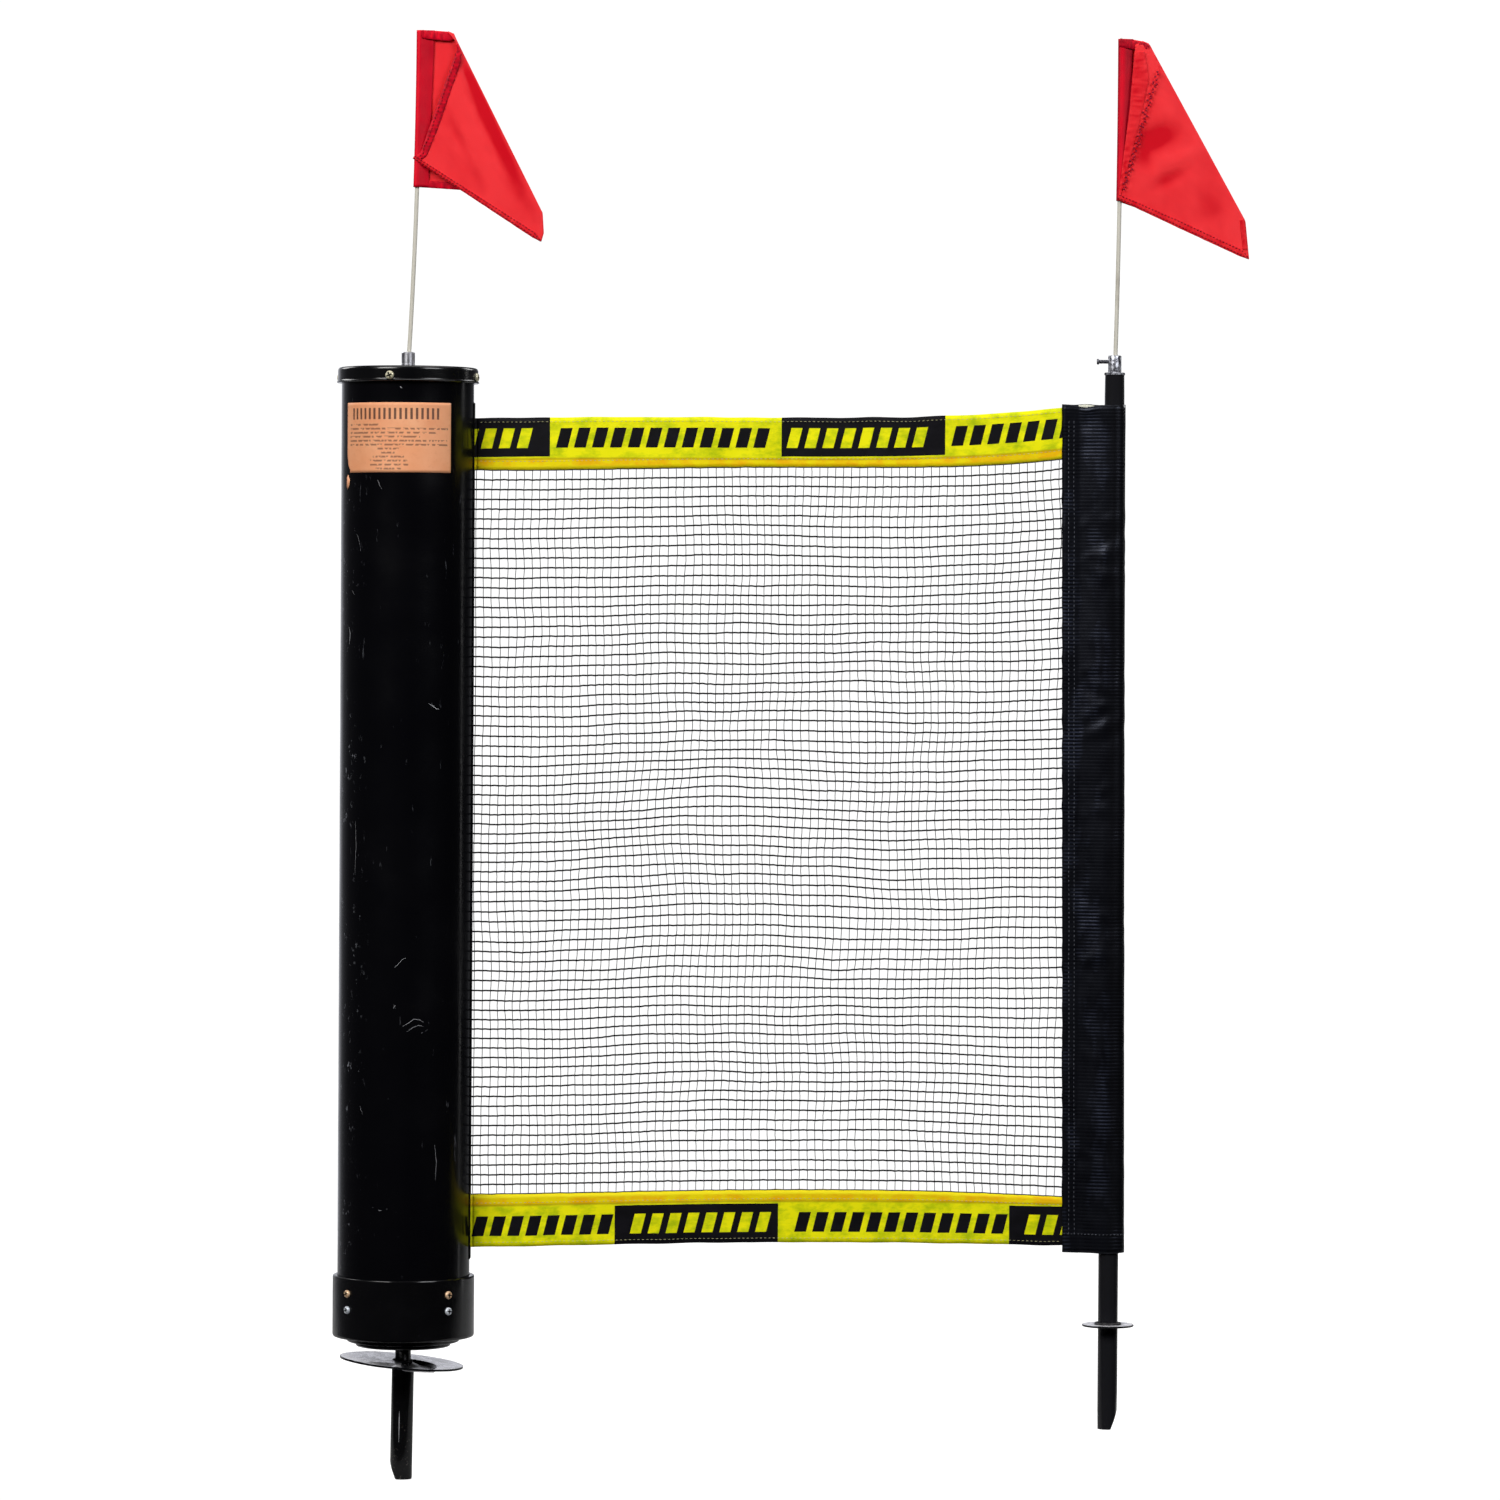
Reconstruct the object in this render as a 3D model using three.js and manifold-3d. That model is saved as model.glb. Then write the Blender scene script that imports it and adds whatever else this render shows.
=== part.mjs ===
// Retractable yard barrier net: a spring-roller canister on a ground stake, the net pulled out of it,
// and the end post that carries the net's free end, with a pennant on top of each.
//
// Millimetres, +Z up, +X from the canister towards the end post, +Y away from the side with the sticker.
// The origin is on the canister's axis, at the underside of its foot plate: the ground line.

import * as THREE from 'three';
import { mergeVertices } from 'three/addons/utils/BufferGeometryUtils.js';
import Module from 'manifold-3d';

const wasm = await Module();
wasm.setup();

// ---- driving dimensions --------------------------------------------------------------------------

const GAP = 0.3; // between pieces that touch on the real object

// canister
const TUBE_RADIUS = 63.5; // a 5 inch tube
const TUBE_WALL = 3.2;
const TUBE_BORE = TUBE_RADIUS - TUBE_WALL;
const TUBE_BOTTOM = 27;
const CAP_RADIUS = 67.2;
const CAP_RIM = 940;
const CAP_TOP = 955;
const CAP_THICKNESS = 3.4;
const TUBE_TOP = CAP_TOP - CAP_THICKNESS - GAP;
const COLLAR_RADIUS = 68;
const COLLAR_BOTTOM = 25.5;
const COLLAR_TOP = 84.5;
const SLOT_HALF_WIDTH = 8;
const SLOT_BOTTOM = 100;
const SLOT_TOP = 922;
const LIP_THICKNESS = 2.7;
const SKIN_SIDES = 40; // facets of the tube, and of the cap and collar that fit closely round it

// stepped plug under the tube, with its rim standing up inside it
const PLUG_BOTTOM = 16;
const PLUG_BOSS_RADIUS = 45.5;
const PLUG_RING_RADIUS = 54;
const PLUG_STEP = 20.5;
const PLUG_FLOOR = 40;
const CUP_WALL = 4; // rim of the end plug and of the top bearing plate
const CUP_RADIUS = TUBE_BORE - GAP;

// screws: every head sits on a skirt, every shank ends inside a cup's rim
const SCREW_SHANK = 1.9;
const SCREW_BORE = 2.3;
const HEAD_HEIGHT = 2.3;
const CAP_HEAD_RADIUS = 4.15;
const COLLAR_HEAD_RADIUS = 3.75;
const CAP_SCREW_Z = 945.5;
const CAP_SCREW_ANGLE = -102; // of the first one, degrees from +X
const COLLAR_SCREW_ANGLE = -138.2;
const COLLAR_SCREW_ROWS = { upper: 70, lower: 54.5 };

// stake and foot plate
const PIPE_RADIUS = 10.65; // half inch pipe
const PIPE_BORE = 7.9;
const NECK_RADIUS = 7.55;
const PLATE_RADIUS = 59.5;
const PLATE_THICKNESS = 1.6;
const PLATE_TILT = 5.2; // degrees, lower on the net's side
const PLATE_OFFSET = -1.5;
const STAKE_LEAN = 0.8;
const STAKE_TIP = -112;

// spring roller, on a fixed arbor
const ARBOR_RADIUS = 6;
const BUSH_RADIUS = 8.7;
const ROLLER_RADIUS = 16;
const ROLLER_WALL = 2;
const ROLLER_BOTTOM = 98;
const ROLLER_TOP = 921;
const ROLL_RADIUS = 42;
const SPRING_RADIUS = 10.2;
const SPRING_WIRE = 1;
const SPRING_BOTTOM = 130;
const SPRING_TOP = 560;
const SPRING_TURNS = 12;

// end post
const POST_X = 677.3;
const POST_RADIUS = 9.5;
const POST_WALL = 1.5;
const POST_TOP = 952;
const POST_TIP = -60;
const DISC_RADIUS = 24.8;
const DISC_Z = 39.9;
const FITTING_TOP = 971;
const FITTING_RADIUS = 6.4;
const THUMB_Z = 965;

// the net: heights of the tapes' edges where they leave the slot and where they enter the pocket
const NET_START = TUBE_RADIUS + 2.8;
const SLEEVE_TOP = 923.5;
const SLEEVE_BOTTOM = 110 - GAP;
const SLEEVE_LEFT_TOP = 627;
const SLEEVE_LEFT_BOTTOM = 632.9;
const TOP_TAPE = { upper: [907.5, 911.8, 920.5], lower: [857.8, 863.6, 870.6] };
const BOTTOM_TAPE = { upper: [164.1, 162, 160.2], lower: [114.1, 112, 110.1] };
const NET_MIDDLE = 318;
const TAPE_HALF = 0.9;
const MESH_HALF = 0.7;

// flags
const ROD_RADIUS = 2.05;
const ROD_TOP = 1275;
const FERRULE_RADIUS = 6.45;
const FERRULE_TOP = 970;
const ROD_BORE = 3.2;
const HEM_RADIUS = 5.2;
const FLAG_HALF = 1;

// Each rod leans out of its socket and bows back upright: x = foot + slope h - bow h², h above the socket.
const LEFT_ROD = { foot: 0.8, socket: FERRULE_TOP, slope: 0.0567, bow: 8.7e-5 };
const RIGHT_ROD = { foot: POST_X + 0.6, socket: FITTING_TOP, slope: 0.0258, bow: 4.6e-5 };

// ---- geometry helpers ----------------------------------------------------------------------------

// One closed body: only positions, shared vertices merged, faces turned outwards.
function closed(geometry) {
  for (const name of ['normal', 'uv']) geometry.deleteAttribute(name);
  const merged = mergeVertices(geometry, 1e-4);
  const place = merged.attributes.position;
  const index = Array.from(merged.index.array);
  const corner = [0, 1, 2].map(() => new THREE.Vector3());
  const kept = [];
  let volume = 0;
  for (let i = 0; i < index.length; i += 3) {
    const [a, b, c] = index.slice(i, i + 3);
    if (a === b || b === c || c === a) continue;
    [a, b, c].forEach((vertex, k) => corner[k].fromBufferAttribute(place, vertex));
    volume += corner[0].dot(corner[1].cross(corner[2]));
    kept.push(a, b, c);
  }
  if (volume < 0) kept.reverse();
  merged.setIndex(kept);
  return merged;
}

function toManifold(geometry) {
  const vertProperties = new Float32Array(geometry.attributes.position.array);
  const triVerts = new Uint32Array(geometry.index.array);
  return new wasm.Manifold(new wasm.Mesh({ numProp: 3, vertProperties, triVerts }));
}

function fromManifold(body) {
  const mesh = body.getMesh();
  const geometry = new THREE.BufferGeometry();
  geometry.setAttribute('position', new THREE.BufferAttribute(mesh.vertProperties, 3));
  geometry.setIndex(Array.from(mesh.triVerts));
  return geometry;
}

function cut(geometry, tools) {
  return fromManifold(tools.reduce((body, tool) => body.subtract(toManifold(tool)), toManifold(geometry)));
}

function join(first, second) {
  return fromManifold(toManifold(first).add(toManifold(second)));
}

// Points are [radius, height]; the profile starts and ends on the axis, or is closed into a ring here.
function revolve(points, segments = 32) {
  const profile = points.map(([radius, height]) => new THREE.Vector2(radius, height));
  if (points[0][0] > 0) profile.push(profile[0].clone());
  return closed(new THREE.LatheGeometry(profile, segments).rotateX(Math.PI / 2));
}

function rod(radius, bottom, top, segments = 24) {
  return revolve([[0, bottom], [radius, bottom], [radius, top], [0, top]], segments);
}

function ring(inner, outer, bottom, top, segments = 32) {
  return revolve([[inner, bottom], [outer, bottom], [outer, top], [inner, top]], segments);
}

function block(low, high) {
  const size = high.map((value, i) => value - low[i]);
  const middle = high.map((value, i) => (value + low[i]) / 2);
  return closed(new THREE.BoxGeometry(...size).translate(...middle));
}

// An outline in X and Z, [x, z] points, made as thick as a sheet in Y.
function sheet(points, halfThickness) {
  const shape = new THREE.Shape(points.map(([x, z]) => new THREE.Vector2(x, z)));
  const options = { depth: 2 * halfThickness, bevelEnabled: false };
  const geometry = new THREE.ExtrudeGeometry(shape, options);
  return closed(geometry.rotateX(Math.PI / 2).translate(0, halfThickness, 0));
}

function disk(radius, sides) {
  const corners = Array.from({ length: sides }, (_, i) => (2 * Math.PI * i) / sides);
  return new THREE.Shape(corners.map((a) => new THREE.Vector2(radius * Math.cos(a), radius * Math.sin(a))));
}

function sweep(curve, radius, sides, steps) {
  const options = { steps, extrudePath: curve, bevelEnabled: false };
  return closed(new THREE.ExtrudeGeometry(disk(radius, sides), options));
}

// A radial bore through a wall at an angle in degrees from +X.
function radialBore(angle, z) {
  const bore = rod(SCREW_BORE, 40, 90, 8).rotateY(Math.PI / 2);
  return bore.rotateZ(THREE.MathUtils.degToRad(angle)).translate(0, 0, z);
}

const quarterTurns = (first) => [0, 1, 2, 3].map((turn) => first + 90 * turn);
const capBores = quarterTurns(CAP_SCREW_ANGLE).map((angle) => radialBore(angle, CAP_SCREW_Z));
const collarBores = Object.values(COLLAR_SCREW_ROWS).flatMap((z) =>
  quarterTurns(COLLAR_SCREW_ANGLE).map((angle) => radialBore(angle, z)));

// ---- materials and assembly ----------------------------------------------------------------------

const material = (color, roughness, metalness = 0) =>
  new THREE.MeshStandardMaterial({ color, roughness, metalness });

const BLACK_TUBE = material(0x0c0c0e, 0.25);
const BLACK_MOULDING = material(0x141416, 0.4);
const BLACK_PAINT = material(0x101011, 0.45, 0.2);
const BLACK_FABRIC = material(0x15151a, 0.6);
const GALVANISED = material(0xb9bac2, 0.4, 0.9);
const STEEL = material(0x9a9ca3, 0.3, 1);
const BRASS = material(0xb98a4a, 0.35, 1);
const ZINC = material(0xa8aab0, 0.4, 1);
const NYLON = material(0xe8e4d8, 0.5);
const STICKER = material(0xe9925f, 0.6);
const TAPE = material(0xd8dc12, 0.6);
const MESH = material(0x3c3c40, 0.7);
const FLAG = material(0xd4121f, 0.55);
const ROD_WHITE = material(0xdedbd0, 0.45);

const part = new THREE.Group();

function add(name, geometry, look, parent = part) {
  const mesh = new THREE.Mesh(geometry, look);
  mesh.name = name;
  parent.add(mesh);
  return mesh;
}

// ---- canister ------------------------------------------------------------------------------------

function canisterTube() {
  const slot = block([TUBE_BORE - 15, -SLOT_HALF_WIDTH, SLOT_BOTTOM], [80, SLOT_HALF_WIDTH, SLOT_TOP]);
  const tube = ring(TUBE_BORE, TUBE_RADIUS, TUBE_BOTTOM, TUBE_TOP, SKIN_SIDES);
  return cut(tube, [slot, ...capBores, ...collarBores]);
}

function slotLip(side) {
  const near = SLOT_HALF_WIDTH - GAP - LIP_THICKNESS;
  const far = SLOT_HALF_WIDTH - GAP;
  const [inner, outer, round] = [TUBE_RADIUS - 6, TUBE_RADIUS + 0.8, 0.8];
  const outline = [[inner, near], [outer - round, near], [outer, near + round], [outer, far - round],
    [outer - round, far], [inner, far]];
  const shape = new THREE.Shape(outline.map(([x, y]) => new THREE.Vector2(x, side * y)));
  const depth = SLOT_TOP - SLOT_BOTTOM - 2 * GAP;
  const strip = new THREE.ExtrudeGeometry(shape, { depth, bevelEnabled: false });
  return closed(strip.translate(0, 0, SLOT_BOTTOM + GAP));
}

function topCap() {
  const [lip, chamfer, inner] = [0.7, 2.2, TUBE_RADIUS + GAP];
  const stemHole = 4.3;
  const profile = [
    [CAP_RADIUS + lip, CAP_RIM], [CAP_RADIUS + lip, CAP_RIM + 0.7], [CAP_RADIUS, CAP_RIM + 1.1],
    [CAP_RADIUS, CAP_TOP - chamfer], [CAP_RADIUS - 0.6, CAP_TOP - 0.8], [CAP_RADIUS - chamfer, CAP_TOP],
    [stemHole, CAP_TOP], [stemHole, CAP_TOP - CAP_THICKNESS], [inner, CAP_TOP - CAP_THICKNESS],
    [inner, CAP_RIM],
  ];
  return cut(revolve(profile, SKIN_SIDES), capBores);
}

function collar() {
  const inner = TUBE_RADIUS + GAP;
  const profile = [
    [inner, COLLAR_BOTTOM], [COLLAR_RADIUS - 1.5, COLLAR_BOTTOM], [COLLAR_RADIUS, COLLAR_BOTTOM + 1.5],
    [COLLAR_RADIUS, COLLAR_TOP - 0.8], [COLLAR_RADIUS - 0.8, COLLAR_TOP], [inner, COLLAR_TOP],
  ];
  return cut(revolve(profile, SKIN_SIDES), collarBores);
}

// The plug steps in below the tube; its rim inside the tube takes the collar's screws.
function endPlug() {
  const [neckSocket, socketTop, arborSocket, arborSocketBottom] = [NECK_RADIUS + 0.4, 26, 6.4, 32];
  const rimTop = COLLAR_TOP;
  const profile = [
    [0, socketTop], [neckSocket, socketTop], [neckSocket, PLUG_BOTTOM], [PLUG_BOSS_RADIUS, PLUG_BOTTOM],
    [PLUG_BOSS_RADIUS, PLUG_STEP], [PLUG_RING_RADIUS, PLUG_STEP], [PLUG_RING_RADIUS, TUBE_BOTTOM - GAP],
    [CUP_RADIUS, TUBE_BOTTOM - GAP], [CUP_RADIUS, rimTop], [CUP_RADIUS - CUP_WALL, rimTop],
    [CUP_RADIUS - CUP_WALL, PLUG_FLOOR], [arborSocket, PLUG_FLOOR], [arborSocket, arborSocketBottom],
    [0, arborSocketBottom],
  ];
  return cut(revolve(profile), collarBores);
}

// A cup held by the cap's screws; its hub carries the arbor's upper end.
function topBearingPlate() {
  const [bottom, floor, rimTop, hubRadius] = [931, 934.5, TUBE_TOP - 1, 12];
  const [hubBottom, socket, socketTop] = [926.5, ARBOR_RADIUS + 0.3, 932.5];
  const profile = [
    [0, socketTop], [socket, socketTop], [socket, hubBottom], [hubRadius, hubBottom], [hubRadius, bottom],
    [CUP_RADIUS, bottom], [CUP_RADIUS, rimTop], [CUP_RADIUS - CUP_WALL, rimTop],
    [CUP_RADIUS - CUP_WALL, floor], [0, floor],
  ];
  return cut(revolve(profile, 24), capBores);
}

// A pan head with a cross recess, pointing up +X, its seat at x = 0 and its shank towards -X.
function screw(headRadius) {
  const shankLength = 8.5;
  const profile = [
    [0, -shankLength], [SCREW_SHANK, -shankLength + 1.2], [SCREW_SHANK, 0], [headRadius, 0],
    [headRadius, 0.8], [headRadius * 0.8, HEAD_HEIGHT * 0.9], [headRadius * 0.4, HEAD_HEIGHT], [0, HEAD_HEIGHT],
  ];
  const [arm, half, floor] = [headRadius * 0.56, 0.5, HEAD_HEIGHT - 1.3];
  const recess = [
    block([-arm, -half, floor], [arm, half, HEAD_HEIGHT + 1]),
    block([-half, -arm, floor], [half, arm, HEAD_HEIGHT + 1]),
  ];
  return cut(revolve(profile, 10), recess).rotateY(Math.PI / 2);
}

function addScrews(prefix, seatRadius, z, firstAngle, headRadius, look) {
  quarterTurns(firstAngle).forEach((angle, i) => {
    const turned = screw(headRadius).rotateX(0.35 + i).translate(seatRadius + GAP, 0, 0);
    const mesh = add(`${prefix}_${i + 1}`, turned, look);
    mesh.rotation.z = THREE.MathUtils.degToRad(angle);
    mesh.position.z = z;
  });
}

function sticker() {
  const [from, to, bottom, top] = [-150.6, -47.3, 853.3, 919.8];
  const [inner, outer] = [TUBE_RADIUS + GAP, TUBE_RADIUS + GAP + 0.3];
  const [start, end] = [from, to].map(THREE.MathUtils.degToRad);
  const shape = new THREE.Shape().absarc(0, 0, outer, start, end, false).absarc(0, 0, inner, end, start, true);
  const options = { depth: top - bottom, bevelEnabled: false, curveSegments: 12 };
  return closed(new THREE.ExtrudeGeometry(shape, options).translate(0, 0, bottom));
}

// The stem goes through the cap, and a nut holds it from below.
function flagFerrule() {
  const [stem, stemBottom, floor] = [4, 938, 941];
  return revolve([
    [0, stemBottom], [stem, stemBottom], [stem, CAP_TOP + GAP], [FERRULE_RADIUS, CAP_TOP + GAP],
    [FERRULE_RADIUS, FERRULE_TOP - 0.5], [FERRULE_RADIUS - 0.5, FERRULE_TOP], [ROD_BORE, FERRULE_TOP],
    [ROD_BORE, floor], [0, floor],
  ], 24);
}

function ferruleNut() {
  const top = CAP_TOP - CAP_THICKNESS - GAP;
  return cut(rod(8, top - 5.5, top, 6), [rod(4.3, top - 7, top + 1, 16)]);
}

add('canister_tube', canisterTube(), BLACK_TUBE);
add('slot_lip_front', slotLip(-1), BLACK_MOULDING);
add('slot_lip_rear', slotLip(1), BLACK_MOULDING);
add('top_cap', topCap(), BLACK_MOULDING);
add('collar', collar(), BLACK_MOULDING);
add('end_plug', endPlug(), BLACK_MOULDING);
add('front_sticker', sticker(), STICKER);
add('flag_ferrule', flagFerrule(), STEEL);
add('ferrule_nut', ferruleNut(), ZINC);
add('top_bearing_plate', topBearingPlate(), BLACK_MOULDING);
addScrews('cap_screw', CAP_RADIUS, CAP_SCREW_Z, CAP_SCREW_ANGLE, CAP_HEAD_RADIUS, BRASS);
for (const [row, z] of Object.entries(COLLAR_SCREW_ROWS)) {
  const look = row === 'upper' ? BRASS : ZINC;
  addScrews(`collar_screw_${row}`, COLLAR_RADIUS, z, COLLAR_SCREW_ANGLE, COLLAR_HEAD_RADIUS, look);
}

// ---- stake and foot plate ------------------------------------------------------------------------

// Slices a pipe's lower end off along a steep slope on one side of it (side is -1 or +1).
function slopeCutter(side, tip, fromX, rise) {
  const far = 20;
  const slope = rise / (PIPE_RADIUS - fromX);
  const wedge = [[fromX, tip], [fromX + far, tip + far * slope], [fromX + far, tip - 5], [fromX, tip - 5]];
  return sheet(wedge.map(([x, z]) => [side * x, z]), far);
}

function footPlate() {
  const hole = NECK_RADIUS + 2;
  const plate = ring(hole, PLATE_RADIUS, 0, PLATE_THICKNESS);
  return plate.rotateY(THREE.MathUtils.degToRad(PLATE_TILT)).translate(PLATE_OFFSET, 0, 0);
}

// The pipe's upper end is cut parallel to the tilted plate above it.
function groundStake() {
  const pipe = ring(PIPE_BORE, PIPE_RADIUS, STAKE_TIP, 10, 32);
  const abovePlate = block([-40, -40, -GAP], [40, 40, 40]);
  abovePlate.rotateY(THREE.MathUtils.degToRad(PLATE_TILT - STAKE_LEAN));
  const stake = cut(pipe, [abovePlate, slopeCutter(-1, STAKE_TIP, 4, 16)]);
  return stake.rotateY(THREE.MathUtils.degToRad(STAKE_LEAN));
}

add('stake_neck', rod(NECK_RADIUS, -14, 25.7), BLACK_PAINT);
add('foot_plate', footPlate(), GALVANISED);
add('ground_stake', groundStake(), BLACK_PAINT);

// ---- spring roller -------------------------------------------------------------------------------

class Helix extends THREE.Curve {
  getPoint(t) {
    const angle = 2 * Math.PI * SPRING_TURNS * t;
    const height = SPRING_BOTTOM + (SPRING_TOP - SPRING_BOTTOM) * t;
    return new THREE.Vector3(SPRING_RADIUS * Math.cos(angle), SPRING_RADIUS * Math.sin(angle), height);
  }
}

const rollerBore = ROLLER_RADIUS - ROLLER_WALL;
const bushBore = ARBOR_RADIUS + GAP;
const plugLength = 20;
const flangeThickness = 3.5;

function rollerPlug(end, direction) {
  const [inner, body, flange] = [BUSH_RADIUS + GAP, rollerBore - GAP, ROLLER_RADIUS + 3];
  const faceOut = end - direction * (GAP + flangeThickness);
  const seat = end - direction * GAP;
  const tip = end + direction * plugLength;
  return revolve([[inner, faceOut], [flange, faceOut], [flange, seat], [body, seat], [body, tip], [inner, tip]], 20);
}

add('arbor', rod(ARBOR_RADIUS, 32.3, 932.2), STEEL);
add('bottom_bush', ring(bushBore, BUSH_RADIUS, ROLLER_BOTTOM - 6, ROLLER_BOTTOM + 16, 24), NYLON);
add('top_bush', ring(bushBore, BUSH_RADIUS, ROLLER_TOP - 16, ROLLER_TOP + 4.5, 24), NYLON);
add('roller_spring', sweep(new Helix(), SPRING_WIRE, 4, SPRING_TURNS * 8), STEEL);
add('spring_anchor', ring(bushBore, 12.5, SPRING_TOP + 3, SPRING_TOP + 13, 24), ZINC);
add('roller_tube', ring(rollerBore, ROLLER_RADIUS, ROLLER_BOTTOM, ROLLER_TOP, 32), GALVANISED);
add('roller_bottom_plug', rollerPlug(ROLLER_BOTTOM, 1), BLACK_MOULDING);
add('roller_top_plug', rollerPlug(ROLLER_TOP, -1), BLACK_MOULDING);
add('net_roll', ring(ROLLER_RADIUS + GAP, ROLL_RADIUS, BOTTOM_TAPE.lower[0], TOP_TAPE.upper[0]), MESH);

// ---- net and tapes -------------------------------------------------------------------------------

const sleeveLeft = (z) => {
  const share = (SLEEVE_TOP - z) / (SLEEVE_TOP - SLEEVE_BOTTOM);
  return SLEEVE_LEFT_TOP + (SLEEVE_LEFT_BOTTOM - SLEEVE_LEFT_TOP) * share;
};

// A band between a lower and an upper edge, from the slot to just short of the pocket.
function netBand(lower, upper, halfThickness) {
  const along = (edge) => [NET_START, NET_MIDDLE, sleeveLeft(edge[2]) - GAP].map((x, i) => [x, edge[i]]);
  return sheet([...along(lower), ...along(upper).reverse()], halfThickness);
}

const shifted = (edge, amount) => edge.map((z) => z + amount);

add('top_tape', netBand(TOP_TAPE.lower, TOP_TAPE.upper, TAPE_HALF), TAPE);
add('bottom_tape', netBand(BOTTOM_TAPE.lower, BOTTOM_TAPE.upper, TAPE_HALF), TAPE);
add('net_mesh', netBand(shifted(BOTTOM_TAPE.upper, GAP), shifted(TOP_TAPE.lower, -GAP), MESH_HALF), MESH);

// ---- pocket sleeve -------------------------------------------------------------------------------

// The pocket seen from above: two layers sewn flat on the net's side, then round the post.
function pocketOutline(left, seam, seamHalf, radius) {
  const flank = Math.PI - Math.acos((radius - seamHalf) / (POST_X - seam));
  const shape = new THREE.Shape();
  if (left < seam) shape.moveTo(left, -seamHalf).lineTo(seam, -seamHalf);
  else shape.moveTo(seam, -seamHalf);
  shape.absarc(POST_X, 0, radius, -flank, flank, false);
  shape.lineTo(seam, seamHalf);
  if (left < seam) shape.lineTo(left, seamHalf);
  return shape;
}

function pocketSleeve() {
  const [seam, wall, round] = [643, 1.2, POST_RADIUS + 1.6];
  const shape = pocketOutline(SLEEVE_LEFT_TOP, seam, 1.6, round);
  shape.holes.push(pocketOutline(seam + 3, seam + 3, 0.7, round - wall));
  const options = { depth: SLEEVE_TOP - SLEEVE_BOTTOM, steps: 4, bevelEnabled: false, curveSegments: 10 };
  const geometry = new THREE.ExtrudeGeometry(shape, options).translate(0, 0, SLEEVE_BOTTOM);
  const place = geometry.attributes.position;
  for (let i = 0; i < place.count; i++) {
    // the sewn side slants with the net, the post's side stays upright
    const share = THREE.MathUtils.clamp((POST_X - place.getX(i)) / (POST_X - SLEEVE_LEFT_TOP), 0, 1);
    place.setX(i, place.getX(i) + share * (sleeveLeft(place.getZ(i)) - SLEEVE_LEFT_TOP));
  }
  return closed(geometry);
}

add('pocket_sleeve', pocketSleeve(), BLACK_FABRIC);

// ---- end post ------------------------------------------------------------------------------------

function postTube() {
  const tube = ring(POST_RADIUS - POST_WALL, POST_RADIUS, POST_TIP, POST_TOP, 32);
  return cut(tube, [slopeCutter(1, POST_TIP, 3, 20)]).translate(POST_X, 0, 0);
}

// A plug in the post, a flange on its end and the socket for the flag rod, cross-drilled for the screw.
function postTopFitting() {
  const [plug, flange, thickness, floor] = [POST_RADIUS - POST_WALL - GAP, 10, 2.4, 943];
  const seat = POST_TOP + GAP;
  const profile = [
    [0, POST_TOP - 16], [plug, POST_TOP - 16], [plug, seat], [flange, seat], [flange, seat + thickness],
    [FITTING_RADIUS, seat + thickness], [FITTING_RADIUS, FITTING_TOP], [ROD_BORE, FITTING_TOP],
    [ROD_BORE, floor], [0, floor],
  ];
  const crossBore = rod(1.8, 0, 12, 12).rotateY(-Math.PI / 2).translate(0, 0, THUMB_Z);
  return cut(revolve(profile, 24), [crossBore]).translate(POST_X, 0, 0);
}

function thumbScrew() {
  const [shaft, tip, headStart, headEnd, headRadius] = [1.4, 2, 15, 17.2, 2.7];
  const profile = [
    [0, tip], [shaft, tip], [shaft, headStart], [headRadius, headStart + 0.4], [headRadius, headEnd - 0.4],
    [headRadius - 0.6, headEnd], [0, headEnd],
  ];
  return revolve(profile, 16).rotateY(-Math.PI / 2).translate(POST_X, 0, THUMB_Z);
}

const foot = ring(POST_RADIUS + GAP, DISC_RADIUS, DISC_Z - 0.9, DISC_Z + 0.9);
add('post_tube', postTube(), BLACK_PAINT);
add('post_foot_disc', foot.translate(POST_X, 0, 0), GALVANISED);
add('post_top_fitting', postTopFitting(), STEEL);
add('thumb_screw', thumbScrew(), STEEL);

// ---- flags ---------------------------------------------------------------------------------------

function rodX({ foot, socket, slope, bow }, z) {
  const height = z - socket;
  return foot + slope * height - (height > 0 ? bow * height * height : 0);
}

class RodCurve extends THREE.Curve {
  constructor(line, bottom, top) {
    super();
    Object.assign(this, { line, bottom, top });
  }

  getPoint(t) {
    const z = this.bottom + (this.top - this.bottom) * t;
    return new THREE.Vector3(rodX(this.line, z), 0, z);
  }
}

function flagRod(line) {
  return sweep(new RodCurve(line, line.socket - 26, ROD_TOP), ROD_RADIUS, 8, 10);
}

// A hem round the rod and the cloth beside it. The corners are [distance from the rod, height].
function flag(line, bottom, top, corners) {
  const [low, high] = [rodX(line, bottom), rodX(line, top)];
  const lean = Math.atan2(high - low, top - bottom);
  const middle = (bottom + top) / 2;
  const upright = (geometry) => geometry.translate(0, 0, -middle);
  const place = (geometry) => geometry.rotateY(lean).translate((low + high) / 2, 0, middle);
  const hem = upright(rod(HEM_RADIUS, bottom, top, 20));
  const bore = upright(rod(ROD_RADIUS + 0.9, bottom - 5, top + 5, 20));
  const cloth = upright(sheet([[HEM_RADIUS - 1, bottom + 0.5], ...corners, [HEM_RADIUS - 1, top - 0.5]], FLAG_HALF));
  return place(cut(join(hem, cloth), [bore]));
}

const LEFT_CLOTH = [[52, 1124.7], [119, 1078.5], [119, 1105], [33.6, 1276.6]];
const RIGHT_CLOTH = [[60, 1108], [125, 1064.2], [121, 1097.7], [29.5, 1268.3]];

add('left_flag_rod', flagRod(LEFT_ROD), ROD_WHITE);
add('left_flag', flag(LEFT_ROD, 1128, 1278, LEFT_CLOTH), FLAG);
add('right_flag_rod', flagRod(RIGHT_ROD), ROD_WHITE);
add('right_flag', flag(RIGHT_ROD, 1119.5, 1274.5, RIGHT_CLOTH), FLAG);

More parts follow.
